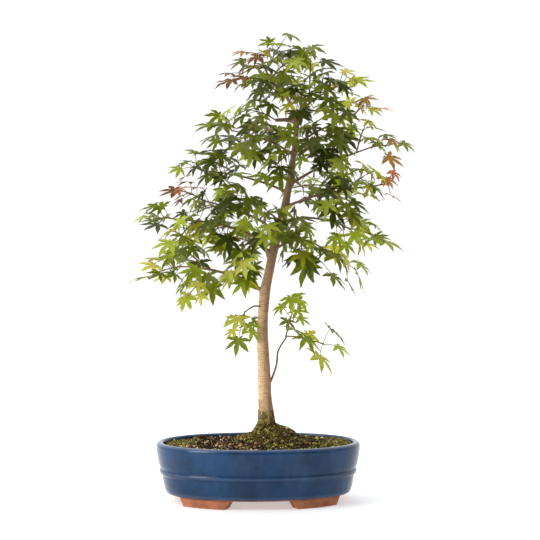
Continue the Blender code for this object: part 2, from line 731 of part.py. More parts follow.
# ---------------------------------------------------------------- the solids of the leafy shoots
def add_leaf(bm, root, leaf):
    """The stalk and blade that grow from four corners, which are joined by the shortest way."""
    spots = square(leaf.stalk, leaf.right, leaf.up, STALK_HALF)
    turns = [root[turn:] + root[:turn] for turn in range(4)]
    root = min(turns, key=lambda turn: sum((corner.co - spot).length for corner, spot in zip(turn, spots)))
    ends = [bm.verts.new(p) for p in spots]
    for i in range(4):
        j = (i + 1) % 4
        bm.faces.new((root[i], root[j], ends[j], ends[i]))
    outline = [bm.verts.new(p) for p in star_points(leaf)]
    heart = leaf.stalk + leaf.forward * LEAF_HEART * leaf.length
    over = bm.verts.new(heart + leaf.up * LEAF_HALF_THICK)
    below = bm.verts.new(heart - leaf.up * LEAF_HALF_THICK)
    top_right, top_left, low_left, low_right = ends
    for apex, first, last in ((over, top_right, top_left), (below, low_right, low_left)):
        edge = [first, *outline, last]
        for a, b in zip(edge, edge[1:] + edge[:1]):
            bm.faces.new((apex, a, b))
    bm.faces.new((top_right, outline[0], low_right))
    bm.faces.new((top_left, low_left, outline[-1]))


def make_spray(name, shoot, finish):
    bm = bmesh.new()
    loops = [[bm.verts.new(p) for p in ring] for ring in shoot.rings]
    bm.faces.new(loops[0])
    for ring, (near, far) in enumerate(zip(loops, loops[1:])):
        for side in range(4):
            after = (side + 1) % 4
            corners = (near[side], near[after], far[after], far[side])
            leaf = shoot.leaves.get((ring, side))
            if leaf:
                add_leaf(bm, corners, leaf)
            else:
                bm.faces.new(corners)
    if shoot.leaves["end"]:
        add_leaf(bm, tuple(loops[-1]), shoot.leaves["end"])
    else:
        bm.faces.new(loops[-1])
    return object_from(bm, name, finish, 60)


# ---------------------------------------------------------------- the whole object
def main():
    clear_scene()
    glaze = material("blue_glaze", (0.035, 0.095, 0.190), 0.14)
    clay = material("terracotta", (0.560, 0.185, 0.070), 0.80)
    earth = material("soil", (0.060, 0.032, 0.014), 0.95)
    moss = material("moss", (0.140, 0.150, 0.020), 0.95)
    bark = material("bark", (0.560, 0.400, 0.260), 0.75)
    leaf = material("leaf_green", (0.110, 0.240, 0.020), 0.55)
    plastic = material("drainage_plastic", (0.020, 0.020, 0.020), 0.60)

    make_pot(glaze, clay)
    for name, side in (("drainage_mesh_left", -1), ("drainage_mesh_right", 1)):
        make_drainage_mesh(name, side, plastic)
    make_soil(earth)
    make_mound(moss)
    make_cushion("moss_cushion_right", range(-3, 4), (4, 5, 6), 0.004, moss)
    make_cushion("moss_cushion_left", range(15, 20), (4, 5, 6), 0.003, moss)
    make_wood(bark)
    for number, shoot in enumerate(grow_sprays(), 1):
        make_spray(f"leaf_spray_{number:02d}", shoot, leaf)


if __name__ == "__main__":
    main()
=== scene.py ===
"""A maple bonsai in an oval glazed pot: its finished surfaces, built piece by piece.

Metres, +Z up, in the frame of the packed model. The pot, the trunk, the limbs and the ends of the
leafy shoots have the sizes of the packed solids, but for how far the feet go up into the pot. The
soil lies higher here than there, the mound of moss is lower, and the first pair of leaves grows
nearer the foot of its shoot, so the leaves lie near their solids and not on them.
"""

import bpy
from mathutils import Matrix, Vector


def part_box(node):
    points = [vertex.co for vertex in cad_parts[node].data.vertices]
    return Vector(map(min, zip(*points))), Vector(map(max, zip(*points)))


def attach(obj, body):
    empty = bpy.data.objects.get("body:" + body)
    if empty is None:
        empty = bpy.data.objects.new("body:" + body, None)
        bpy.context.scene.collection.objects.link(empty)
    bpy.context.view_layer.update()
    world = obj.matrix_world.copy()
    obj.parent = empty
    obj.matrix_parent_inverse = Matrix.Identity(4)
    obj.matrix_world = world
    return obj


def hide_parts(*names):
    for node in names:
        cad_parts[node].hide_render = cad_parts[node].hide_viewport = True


bl_info = {
    "name": "Potted Maple Bonsai",
    "version": (1, 0, 0),
    "blender": (4, 5, 0),
    "location": "3D View > Sidebar > Bonsai",
    "description": "Builds a small maple tree in an oval glazed pot, piece by piece",
    "category": "Add Mesh",
}

import math
import random
from collections import namedtuple

import bmesh
import bpy
from mathutils import Vector, noise
from mathutils.bvhtree import BVHTree

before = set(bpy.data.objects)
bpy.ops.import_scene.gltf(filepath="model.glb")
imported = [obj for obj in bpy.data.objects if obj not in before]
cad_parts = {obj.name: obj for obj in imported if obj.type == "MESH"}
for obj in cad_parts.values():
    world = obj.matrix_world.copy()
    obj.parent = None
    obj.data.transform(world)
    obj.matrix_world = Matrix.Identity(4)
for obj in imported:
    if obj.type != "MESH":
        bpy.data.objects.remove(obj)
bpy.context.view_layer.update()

# ---------------------------------------------------------------- sizes of the pot
POT_AT = Vector((-0.0160, 0.0, 0.0))
POT_LENGTH = 0.260
POT_DEPTH = 0.200
OVAL_POWER = 2.15
FLOOR_TOP = 0.0165
UNDERSIDE = 0.0102
GAP = 0.0003

# The pot's outer wall from the top of its lip down to its underside: how far in from the
# widest oval, and how high.
OUTER_WALL = (
    (0.0052, 0.0750),
    (0.0026, 0.0744),
    (0.0008, 0.0728),
    (0.0000, 0.0700),
    (0.0004, 0.0640),
    (0.0016, 0.0560),
    (0.0032, 0.0480),
    (0.0050, 0.0432),
    (0.0056, 0.0420),
    (0.0046, 0.0408),
    (0.0042, 0.0388),
    (0.0050, 0.0362),
    (0.0072, 0.0348),
    (0.0080, 0.0300),
    (0.0096, 0.0215),
    (0.0118, 0.0142),
    (0.0138, 0.0115),
    (0.0180, UNDERSIDE),
)
# The inner wall from the middle of the lip down to the floor.
INNER_WALL = (
    (0.0078, 0.0744),
    (0.0092, 0.0720),
    (0.0098, 0.0690),
    (0.0205, 0.0195),
    (0.0240, FLOOR_TOP),
)

FOOT_OUTSIDE = 0.0165
FOOT_INSIDE = 0.0310
FOOT_TURNS = (30.0, 72.0)
FOOT_TAPER = 3.5
FOOT_FLARE = 0.0012
# How far the feet go up into the pot. The solids' go twice as far, where it can't be seen.
FOOT_BURIED = 0.0006
# How far the feet's edges are rounded.
WORN_EDGE = 0.0009
DRAIN_RADIUS = 0.0100
DRAIN_SPACING = 0.110
MESH_SIDE = 0.036
MESH_THICK = 0.0012

# ---------------------------------------------------------------- the soil, which the solids have lower
TRUNK_FOOT = Vector((0.0105, 0.0, 0.0460))
SOIL_EDGE = 0.0698
SOIL_DOME = 0.0140
SOIL_DOME_AT = Vector((0.0200, 0.0, 0.0))
SOIL_DOME_REACH = 0.054
SOIL_RIPPLE = 0.0008
SOIL_SIDES = 36
SOIL_RINGS = (0.0, 0.10, 0.24, 0.42, 0.64, 0.86, 1.0)
MOUND_RISE = (0.0062, 0.0052, 0.0020)
MOUND_LEAN = 0.50
MOUND_REACH = SOIL_RINGS[len(MOUND_RISE) - 1]
COLLAR_HEIGHT = 0.0975

# ---------------------------------------------------------------- sizes of the tree
# FIRST_PAIR, how far along its shoot the first pair of leaves grows, is larger in the solids.
Limb = namedtuple("Limb", "name thick thin points")
Spray = namedtuple("Spray", "limb along tip pairs leaf droop")
Leaf = namedtuple("Leaf", "root stalk forward right up length curl")
Shoot = namedtuple("Shoot", "rings leaves")

SEED = 41
TRUNK = (
    (0.0105, 0.000, 0.0460, 0.0150),
    (0.0105, 0.000, 0.0600, 0.0172),
    (0.0105, 0.000, 0.0720, 0.0150),
    (0.0105, 0.000, 0.0860, 0.0124),
    (0.0104, 0.000, 0.1010, 0.0108),
    (0.0096, 0.000, 0.1140, 0.0098),
    (0.0086, -0.001, 0.1280, 0.0089),
    (0.0077, -0.002, 0.1420, 0.0086),
    (0.0066, -0.003, 0.1750, 0.0078),
    (0.0050, -0.003, 0.2080, 0.0074),
    (0.0058, -0.002, 0.2320, 0.0068),
    (0.0078, -0.001, 0.2570, 0.0067),
    (0.0100, 0.000, 0.2730, 0.0064),
    (0.0150, 0.001, 0.2960, 0.0060),
    (0.0235, 0.002, 0.3370, 0.0060),
    (0.0290, 0.002, 0.3560, 0.0054),
    (0.0340, 0.001, 0.3730, 0.0051),
    (0.0400, -0.001, 0.4060, 0.0044),
    (0.0450, -0.002, 0.4400, 0.0037),
    (0.0485, -0.002, 0.4700, 0.0032),
    (0.0495, -0.001, 0.4860, 0.0032),
)
TRUNK_SIDES = 12
ROOT_LOBES = 5
ROOT_LOBE_DEPTH = 0.13
LIMB_SIDES = 6

LIMBS = (
    Limb("low_shoot", 0.0014, 0.0009, (
        (0.012, -0.002, 0.141), (0.0225, -0.004, 0.170), (0.0252, -0.006, 0.190), (0.036, -0.010, 0.209))),
    Limb("low_left", 0.0012, 0.0008, (
        (0.006, -0.002, 0.246), (-0.006, -0.012, 0.247), (-0.018, -0.018, 0.240))),
    Limb("left_1", 0.0024, 0.0011, (
        (0.008, 0.000, 0.264), (-0.018, -0.008, 0.281), (-0.055, -0.015, 0.292), (-0.088, -0.020, 0.297))),
    Limb("left_2", 0.0022, 0.0009, (
        (0.018, 0.001, 0.312), (-0.012, -0.014, 0.338), (-0.058, -0.022, 0.352), (-0.106, -0.016, 0.357))),
    Limb("left_3", 0.0022, 0.0009, (
        (0.0235, 0.002, 0.337), (0.002, 0.008, 0.357), (-0.035, 0.014, 0.372), (-0.072, 0.010, 0.383))),
    Limb("left_4", 0.0018, 0.0008, (
        (0.038, -0.001, 0.392), (0.010, 0.006, 0.404), (-0.030, 0.008, 0.415), (-0.070, 0.004, 0.420))),
    Limb("left_5", 0.0015, 0.0008, (
        (0.045, -0.002, 0.440), (0.020, -0.010, 0.454), (-0.010, -0.012, 0.464), (-0.034, -0.010, 0.470))),
    Limb("old_cut", 0.0027, 0.0023, (
        (0.0500, -0.001, 0.4830), (0.0370, -0.002, 0.4848), (0.0225, -0.003, 0.4842))),
    Limb("leader", 0.0025, 0.0010, (
        (0.0495, -0.001, 0.480), (0.0445, 0.002, 0.500), (0.033, 0.002, 0.518), (0.018, 0.000, 0.532),
        (0.010, -0.004, 0.546), (0.004, -0.006, 0.558))),
    Limb("right_top", 0.0017, 0.0008, (
        (0.0492, -0.001, 0.484), (0.060, -0.004, 0.500), (0.074, -0.006, 0.513), (0.092, -0.004, 0.522))),
    Limb("right_5", 0.0016, 0.0008, (
        (0.0465, -0.002, 0.452), (0.074, 0.008, 0.470), (0.106, 0.010, 0.485), (0.126, 0.008, 0.495))),
    Limb("right_4", 0.0020, 0.0008, (
        (0.0395, -0.001, 0.402), (0.076, -0.006, 0.423), (0.112, -0.008, 0.438), (0.144, -0.006, 0.450))),
    Limb("right_3", 0.0018, 0.0008, (
        (0.0345, 0.001, 0.374), (0.074, -0.014, 0.388), (0.115, -0.014, 0.396), (0.152, -0.010, 0.401))),
    Limb("right_2", 0.0018, 0.0008, (
        (0.0270, 0.002, 0.350), (0.058, 0.008, 0.360), (0.092, 0.006, 0.356), (0.118, 0.000, 0.346))),
    Limb("right_1", 0.0018, 0.0008, (
        (0.0200, 0.001, 0.320), (0.044, -0.016, 0.330), (0.066, -0.022, 0.328), (0.086, -0.022, 0.317))),
    Limb("back_1", 0.0019, 0.0008, (
        (0.0150, 0.001, 0.300), (0.010, 0.032, 0.322), (0.000, 0.066, 0.334))),
    Limb("back_2", 0.0018, 0.0008, (
        (0.0350, 0.001, 0.378), (0.044, 0.032, 0.398), (0.052, 0.064, 0.410))),
    Limb("back_3", 0.0014, 0.0008, (
        (0.0460, -0.002, 0.448), (0.040, 0.026, 0.466), (0.030, 0.050, 0.476))),
    Limb("front_1", 0.0018, 0.0008, (
        (0.0250, 0.002, 0.343), (0.018, -0.034, 0.360), (0.004, -0.066, 0.364))),
    Limb("front_2", 0.0015, 0.0008, (
        (0.0435, -0.002, 0.430), (0.050, -0.030, 0.446), (0.055, -0.054, 0.452))),
)

# Each leafy shoot: the limb that carries it and how far along, where the shoot ends, how many
# pairs of leaves it has below its end leaf, how long its leaves are and how steeply they hang.
SPRAYS = (
    # top of the crown
    Spray("leader", 1.00, (-0.006, -0.008, 0.567), 3, 0.021, 9),
    Spray("leader", 0.80, (0.026, -0.012, 0.576), 3, 0.020, 10),
    Spray("leader", 0.66, (0.034, -0.036, 0.552), 5, 0.022, 30),
    Spray("leader", 0.92, (-0.022, 0.010, 0.544), 3, 0.021, 21),
    Spray("right_top", 0.45, (0.066, -0.014, 0.558), 4, 0.023, 19),
    Spray("right_top", 1.00, (0.110, -0.004, 0.532), 3, 0.022, 20),
    Spray("right_top", 0.75, (0.080, -0.038, 0.524), 5, 0.024, 31),
    Spray("old_cut", 1.00, (-0.004, -0.014, 0.494), 3, 0.023, 22),
    Spray("leader", 0.30, (0.046, -0.044, 0.506), 6, 0.024, 36),
    Spray("leader", 0.50, (0.050, 0.038, 0.534), 4, 0.023, 19),
    Spray("leader", 0.42, (0.004, -0.034, 0.520), 4, 0.023, 33),
    # right side
    Spray("right_5", 1.00, (0.136, 0.002, 0.504), 3, 0.021, 15),
    Spray("right_5", 0.62, (0.096, -0.026, 0.488), 5, 0.023, 31),
    Spray("right_4", 1.00, (0.165, -0.006, 0.452), 3, 0.022, 24),
    Spray("right_4", 0.80, (0.136, 0.008, 0.474), 3, 0.022, 16),
    Spray("right_4", 0.45, (0.094, -0.040, 0.448), 6, 0.025, 36),
    Spray("right_3", 1.00, (0.166, -0.012, 0.402), 2, 0.018, 27),
    Spray("right_3", 0.66, (0.130, -0.034, 0.410), 5, 0.023, 28),
    Spray("right_3", 0.42, (0.098, -0.050, 0.382), 6, 0.024, 38),
    Spray("right_2", 1.00, (0.144, -0.008, 0.338), 3, 0.023, 20),
    Spray("right_2", 0.62, (0.110, -0.030, 0.346), 5, 0.025, 38),
    Spray("right_1", 1.00, (0.072, -0.042, 0.306), 2, 0.030, 58),
    Spray("right_1", 0.85, (0.112, -0.010, 0.300), 2, 0.025, 48),
    Spray("right_1", 0.45, (0.052, -0.048, 0.318), 3, 0.025, 46),
    # left side
    Spray("left_5", 1.00, (-0.042, -0.012, 0.478), 4, 0.023, 19),
    Spray("left_5", 0.50, (-0.008, -0.044, 0.454), 6, 0.024, 34),
    Spray("left_4", 1.00, (-0.084, 0.002, 0.424), 3, 0.021, 9),
    Spray("left_4", 0.66, (-0.052, -0.030, 0.424), 6, 0.023, 26),
    Spray("left_3", 1.00, (-0.092, 0.002, 0.392), 3, 0.020, 12),
    Spray("left_3", 0.74, (-0.076, -0.024, 0.366), 5, 0.022, 30),
    Spray("left_3", 0.50, (-0.034, -0.040, 0.388), 6, 0.024, 36),
    Spray("left_2", 1.00, (-0.128, -0.014, 0.358), 3, 0.022, 7),
    Spray("left_2", 0.80, (-0.098, -0.042, 0.336), 5, 0.024, 34),
    Spray("left_2", 0.45, (-0.054, -0.058, 0.344), 6, 0.025, 38),
    Spray("left_1", 1.00, (-0.122, -0.018, 0.292), 3, 0.022, 15),
    Spray("left_1", 0.80, (-0.094, 0.012, 0.318), 4, 0.023, 19),
    Spray("left_1", 0.66, (-0.080, -0.042, 0.272), 5, 0.022, 48),
    Spray("left_1", 0.35, (-0.020, -0.048, 0.296), 6, 0.023, 41),
    # towards the front and the back
    Spray("front_1", 1.00, (0.004, -0.080, 0.350), 6, 0.025, 41),
    Spray("front_1", 0.50, (0.036, -0.060, 0.340), 6, 0.025, 41),
    Spray("front_2", 1.00, (0.056, -0.074, 0.452), 6, 0.024, 39),
    Spray("front_2", 0.72, (0.086, -0.062, 0.420), 6, 0.024, 38),
    Spray("front_2", 0.50, (0.020, -0.054, 0.424), 5, 0.024, 39),
    Spray("back_1", 1.00, (-0.010, 0.079, 0.330), 4, 0.025, 21),
    Spray("back_1", 0.60, (-0.058, 0.060, 0.336), 3, 0.025, 20),
    Spray("back_2", 1.00, (0.064, 0.070, 0.402), 4, 0.025, 21),
    Spray("back_2", 0.60, (0.100, 0.050, 0.402), 4, 0.025, 21),
    Spray("back_3", 1.00, (0.012, 0.074, 0.478), 4, 0.024, 19),
    Spray("back_3", 0.55, (-0.032, 0.046, 0.450), 4, 0.024, 19),
    # the two low shoots on the bare trunk
    Spray("low_shoot", 1.00, (0.084, -0.016, 0.198), 2, 0.027, 46),
    Spray("low_shoot", 0.93, (0.044, -0.012, 0.242), 3, 0.022, 34),
    Spray("low_left", 1.00, (-0.022, -0.026, 0.224), 3, 0.021, 46),
)

SHOOT_RADII = (0.0011, 0.0008)
SHOOT_ARCH = 0.12
FIRST_PAIR = 0.30
NODE_LENGTH = 0.0018
STALK_HALF = 0.00045
LEAF_HALF_THICK = 0.0005
# The plain leaf that is tried for room: turn from the midrib, and reach.
LEAF_STAR = (
    (96, 0.72), (70, 0.25), (47, 0.94), (23, 0.28), (0, 1.00),
    (-23, 0.28), (-47, 0.94), (-70, 0.25), (-96, 0.72),
)
LEAF_HEART = 0.14
CLEARANCE = 0.0004
TRIES = 30

# ---------------------------------------------------------------- the fine detail
# Each lobe of a leaf from its left to its right: turn from the midrib, reach and half width,
# both as shares of the leaf's length.
LOBES = (
    (-138, 0.34, 0.078),
    (-95, 0.74, 0.133),
    (-47, 0.95, 0.156),
    (0, 1.00, 0.166),
    (47, 0.95, 0.156),
    (95, 0.74, 0.133),
    (138, 0.34, 0.078),
)
# How far from the heart the leaf is cut between neighbouring lobes, and the heart's own corners.
CUTS = (0.05, 0.16, 0.24, 0.28, 0.28, 0.24, 0.16, 0.05)
HEART_TURN = 166
# The edge of a lobe from its foot to its tip: how far along, and the share of its half width.
LOBE_EDGE = (
    (0.12, 0.84), (0.26, 1.00), (0.40, 0.95), (0.54, 0.76), (0.68, 0.52), (0.81, 0.30), (0.91, 0.14),
)
LOBE_FOOT = 0.92
TOOTH_FORWARD = 0.045
NOTCH_FORWARD = 0.030
TOOTH_NOTCH = 0.80
BLADE_HALF_THICK = 0.00012
# How far a shoot reaches back into its limb, and how it swells at its nodes.
SHOOT_ROOT = 0.0022
NODE_SWELL = 0.0004
NODE_REACH = 0.0016
STALK_THICK = 0.00055
STALK_TAPER = 0.00018
STALK_ARCH = 0.10
STALK_STEPS = 8

# The colour family of each spray in the order of SPRAYS.
TONES = (
    "bronze green deep bronze green yellow deep green deep green deep "
    "amber yellow tipped yellow green coral bright deep bright bright green bright green "
    "green green deep green red deep green green yellow green yellow green yellow yellow "
    "green green deep green green deep green deep green deep green "
    "bright green bright"
).split()
# For each family, the finishes its leaves are drawn from.
FAMILIES = {
    "bronze": ("bronze", "bronze", "amber", "green"),
    "green": ("green", "green", "bright", "deep"),
    "deep": ("deep", "deep", "green", "green", "bright"),
    "yellow": ("yellow", "bright", "green"),
    "bright": ("bright", "bright", "green", "yellow"),
    "amber": ("amber", "yellow", "amber"),
    "tipped": ("green", "amber", "bright"),
    "coral": ("coral", "amber", "yellow"),
    "red": ("coral", "coral", "bronze"),
}
# Each leaf finish: its surface colour, the light it lets through, and how much it blushes.
LEAF_FINISHES = {
    "deep": ((0.056, 0.068, 0.003), (0.270, 0.345, 0.007), 0.05),
    "green": ((0.132, 0.152, 0.010), (0.500, 0.590, 0.020), 0.06),
    "bright": ((0.265, 0.305, 0.028), (0.760, 0.860, 0.055), 0.04),
    "yellow": ((0.410, 0.425, 0.072), (0.900, 0.900, 0.130), 0.06),
    "amber": ((0.380, 0.260, 0.075), (0.850, 0.560, 0.120), 0.30),
    "bronze": ((0.185, 0.110, 0.038), (0.520, 0.300, 0.060), 0.50),
    "coral": ((0.560, 0.270, 0.150), (0.900, 0.480, 0.280), 0.35),
}
LEAF_ORDER = tuple(LEAF_FINISHES)
LEAF_GLOW = 0.46
DETAIL_SEED = 7


# ---------------------------------------------------------------- settings that a user would change
def colour_setting(name, description, default):
    return bpy.props.FloatVectorProperty(
        name=name, description=description, default=default, subtype="COLOR", min=0.0, max=1.0, size=3
    )


class PotSettings(bpy.types.PropertyGroup):
    """The glazed pot and its bare feet."""

    sides: bpy.props.IntProperty(
        name="Sides", description="How many flat sides make the pot's oval", default=168, min=48, max=400
    )
    glaze: colour_setting("Glaze", "The glaze where it lies thick", (0.0055, 0.036, 0.098))
    thin_glaze: colour_setting("Thin glaze", "The glaze where it runs thin over edges", (0.300, 0.310, 0.430))
    clay: colour_setting("Clay", "The bare clay of the feet and the underside", (0.430, 0.150, 0.066))


class GroundSettings(bpy.types.PropertyGroup):
    """The soil and the moss on it."""

    grains: bpy.props.IntProperty(
        name="Grains", description="How many loose grains lie on the soil", default=4200, min=0, max=8000
    )
    leaflets: bpy.props.IntProperty(
        name="Leaflets", description="How many leaflets stand on the moss", default=15000, min=0, max=30000
    )
    grain_size: bpy.props.FloatProperty(
        name="Grain size", description="Radius of a middling grain", default=0.0014, min=0.0003, max=0.003,
        unit="LENGTH",
    )
    soil_moss: bpy.props.FloatProperty(
        name="Moss on the soil", description="Higher gives wider patches", default=-0.06, min=-0.5, max=0.5
    )
    mound_moss: bpy.props.FloatProperty(
        name="Moss on the mound", description="Higher gives wider patches", default=0.06, min=-0.5, max=0.5
    )


class WoodSettings(bpy.types.PropertyGroup):
    """The trunk and its limbs."""

    sides: bpy.props.IntProperty(
        name="Sides", description="How many flat sides make the trunk round", default=44, min=12, max=96
    )
    pale_bark: colour_setting("Pale bark", "The smooth bark of the trunk", (0.820, 0.545, 0.310))
    dark_bark: colour_setting("Dark bark", "The bark of the thin branches", (0.085, 0.044, 0.022))


class LeafSettings(bpy.types.PropertyGroup):
    """The leafy shoots."""

    thickness: bpy.props.FloatProperty(
        name="Thickness", description="Half the thickness of a leaf", default=BLADE_HALF_THICK,
        min=0.00005, max=0.0005, unit="LENGTH",
    )
    stalk: colour_setting("Stalk", "The leaf stalks and young shoots", (0.200, 0.120, 0.040))


class StageSettings(bpy.types.PropertyGroup):
    """The camera, the light and the floor."""

    lens: bpy.props.FloatProperty(
        name="Lens", description="Focal length on a 36 mm sensor", default=93.9, min=20.0, max=300.0
    )
    distance: bpy.props.FloatProperty(
        name="Distance", description="From the camera to the tree", default=1.8, min=0.5, max=10.0,
        unit="LENGTH",
    )
    azimuth: bpy.props.FloatProperty(
        name="Azimuth", description="How far the camera stands round to the right",
        default=math.radians(-3.5), subtype="ANGLE",
    )
    key_power: bpy.props.FloatProperty(
        name="Key light", description="Power of the soft light on the left", default=34.0, min=0.0,
        unit="POWER",
    )
    floor: colour_setting("Floor", "The pale floor", (0.60, 0.60, 0.60))


# ---------------------------------------------------------------- shader maths
class Value:
    """A socket of a shader that numbers and other sockets can be worked out with."""

    def __init__(self, tree, socket):
        self.tree = tree
        self.socket = socket

    def maths(self, operation, *others, clamp=False):
        return self.tree.node(
            "ShaderNodeMath", {"operation": operation, "use_clamp": clamp}, dict(enumerate((self, *others)))
        )

    def __add__(self, other):
        return self.maths("ADD", other)

    def __sub__(self, other):
        return self.maths("SUBTRACT", other)

    def __rsub__(self, other):
        return self.tree.node("ShaderNodeMath", {"operation": "SUBTRACT"}, {0: other, 1: self})

    def __mul__(self, other):
        return self.maths("MULTIPLY", other)

    def __truediv__(self, other):
        return self.maths("DIVIDE", other)

    __radd__ = __add__
    __rmul__ = __mul__

    def size(self):
        return self.maths("ABSOLUTE")

    def held(self):
        """The value kept between 0 and 1."""
        return self.maths("ADD", 0.0, clamp=True)

    def near(self, centre, reach):
        """1 at centre, falling to 0 at reach from it."""
        return (1 - (self - centre).size() / reach).held()

    def over(self, low, high):
        """0 below low, 1 above high, and smooth between them."""
        return self.tree.node(
            "ShaderNodeMapRange", {"interpolation_type": "SMOOTHSTEP"}, {"Value": self, 1: low, 2: high}
        )


class Tree:
    """The nodes of a material or of the world, while they are being made."""

    def __init__(self, node_tree):
        self.nodes = node_tree.nodes
        self.links = node_tree.links

    def put(self, socket, given):
        """Links or sets one socket."""
        if isinstance(given, Value):
            self.links.new(given.socket, socket)
        elif isinstance(given, tuple) and len(given) == 3 and socket.type == "RGBA":
            socket.default_value = (*given, 1.0)
        else:
            socket.default_value = given

    def node(self, kind, settings=None, sockets=None, out=0):
        """Any node: its settings, then its sockets by name or number, and the output wanted."""
        made = self.nodes.new(kind)
        for name, value in (settings or {}).items():
            if name == "stops":
                ramp = made.color_ramp
                while len(ramp.elements) < len(value):
                    ramp.elements.new(1.0)
                for element, (at, colour) in zip(ramp.elements, value):
                    element.position = at
                    element.color = (*colour, 1.0)
            else:
                setattr(made, name, value)
        for key, given in (sockets or {}).items():
            self.put(made.inputs[key], given)
        return Value(self, made.outputs[out])


class Finish(Tree):
    """A material being built, with one Principled shader."""

    def __init__(self, name):
        self.material = bpy.data.materials.new(name)
        self.material.use_nodes = True
        super().__init__(self.material.node_tree)
        self.shader = self.nodes["Principled BSDF"]
        self.output = self.nodes["Material Output"]

    def where(self):
        return self.node("ShaderNodeTexCoord", out="Object")

    def attribute(self, name, part):
        """One of the three numbers that a mesh keeps at each point."""
        whole = self.node("ShaderNodeAttribute", {"attribute_name": name}, out="Vector")
        return self.node("ShaderNodeSeparateXYZ", None, {0: whole}, out=part)

    def height(self):
        return self.node("ShaderNodeSeparateXYZ", None, {0: self.where()}, out=2)

    def cloud(self, scale, detail=3.0, roughness=0.55, stretch=None):
        """Noise of so many features to the metre."""
        spot = self.where()
        if stretch:
            spot = self.node("ShaderNodeVectorMath", {"operation": "MULTIPLY"}, {0: spot, 1: stretch})
        return self.node("ShaderNodeTexNoise", None, {
            "Vector": spot, "Scale": scale, "Detail": detail, "Roughness": roughness,
        })

    def cells(self, scale, out="Distance"):
        """Cells of so many to the metre: how far each point is from its cell's middle, or its colour."""
        return self.node("ShaderNodeTexVoronoi", None, {"Vector": self.where(), "Scale": scale}, out=out)

    def mix(self, share, first, second):
        """A colour between two others."""
        return self.node("ShaderNodeMix", {"data_type": "RGBA"}, {0: share, 6: first, 7: second}, out=2)

    def bump(self, height, strength, distance):
        return self.node(
            "ShaderNodeBump", None, {"Height": height, "Strength": strength, "Distance": distance}
        )

    def done(self, **sockets):
        """The material, once the shader's sockets are set."""
        for name, given in sockets.items():
            self.put(self.shader.inputs[name.replace("_", " ")], given)
        return self.material


# ---------------------------------------------------------------- mesh making
class Solid:
    """Points and faces gathered for one mesh. Its finish reads a tone and a place at each point."""

    def __init__(self):
        self.points = []
        self.faces = []
        self.finishes = []
        self.tones = []
        self.places = []

    def point(self, spot, tone=(0.0, 0.0, 0.0), place=(0.0, 0.0, 0.0)):
        self.points.append(tuple(spot))
        self.tones.append(tone)
        self.places.append(place)
        return len(self.points) - 1

    def face(self, corners, finish=0):
        self.faces.append(tuple(corners))
        self.finishes.append(finish)

    def ring(self, spots, tone=(0.0, 0.0, 0.0)):
        return [self.point(spot, tone) for spot in spots]

    def band(self, low, high, finish=0):
        for i, (a, b) in enumerate(zip(low, high)):
            j = (i + 1) % len(low)
            self.face((a, low[j], high[j], b), finish)

    def loft(self, rings, finish=0, tone=(0.0, 0.0, 0.0)):
        """A closed skin over rings of points."""
        self.close([self.ring(ring, tone) for ring in rings], finish)

    def close(self, loops, finish=0):
        """A closed skin over rings whose points are made already."""
        for low, high in zip(loops, loops[1:]):
            self.band(low, high, finish)
        self.face(loops[0][::-1], finish)
        self.face(loops[-1], finish)

    def made(self, name, finishes, slot, nodes, sharp=50):
        """The piece itself, riding on the body and standing for its solids."""
        mesh = bpy.data.meshes.new(name)
        mesh.from_pydata(self.points, [], self.faces)
        for title, rows in (("tone", self.tones), ("place", self.places)):
            layer = mesh.attributes.new(title, "FLOAT_VECTOR", "POINT")
            layer.data.foreach_set("vector", [part for row in rows for part in row])
        for finish in finishes:
            mesh.materials.append(finish)
        mesh.polygons.foreach_set("material_index", self.finishes)
        mesh.shade_smooth()
        mesh.set_sharp_from_angle(angle=math.radians(sharp))
        mesh.update()
        obj = bpy.data.objects.new(name, mesh)
        bpy.context.scene.collection.objects.link(obj)
        stand_in(obj, nodes)
        return obj


def stand_in(obj, nodes):
    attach(obj, "root")
    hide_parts(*nodes)


def outward(turn):
    return Vector((math.cos(turn), math.sin(turn), 0))


def oval_point(turn, inset, height):
    """A point of the pot's oval, drawn in by inset, at a turn in radians."""
    across, along = math.cos(turn), math.sin(turn)
    power = 2 / OVAL_POWER
    x = math.copysign(abs(across) ** power, across) * (POT_LENGTH / 2 - inset)
    y = math.copysign(abs(along) ** power, along) * (POT_DEPTH / 2 - inset)
    return POT_AT + Vector((x, y, height))


def oval_ring(inset, height, sides):
    return [oval_point(2 * math.pi * i / sides, inset, height) for i in range(sides)]


def smooth_path(points, steps):
    """A Catmull-Rom curve through the points, with so many steps between each two."""
    spots = [Vector(p) for p in points]
    spots = [2 * spots[0] - spots[1], *spots, 2 * spots[-1] - spots[-2]]
    path = []
    for a, b, c, d in zip(spots, spots[1:], spots[2:], spots[3:]):
        for k in range(steps):
            t = k / steps
            path.append(0.5 * (2 * b + (c - a) * t + (2 * a - 5 * b + 4 * c - d) * t**2
                               + (3 * b - a - 3 * c + d) * t**3))
    path.append(spots[-2])
    return path


def tube_rings(points, radii, sides):
    """Rings square to a path of points, turned as little as possible from one to the next."""
    side = Vector((1, 0, 0))
    rings = []
    for i, (point, radius) in enumerate(zip(points, radii)):
        ahead = points[min(i + 1, len(points) - 1)] - points[max(i - 1, 0)]
        ahead.normalize()
        side = (side - ahead * side.dot(ahead)).normalized()
        other = ahead.cross(side)
        ring = []
        for k in range(sides):
            turn = 2 * math.pi * k / sides
            ring.append(point + (side * math.cos(turn) + other * math.sin(turn)) * radius)
        rings.append(ring)
    return rings


def apply_modifiers(obj):
    """Makes an object's modifiers part of its mesh."""
    graph = bpy.context.evaluated_depsgraph_get()
    mesh = bpy.data.meshes.new_from_object(obj.evaluated_get(graph), depsgraph=graph)
    obj.modifiers.clear()
    obj.data = mesh


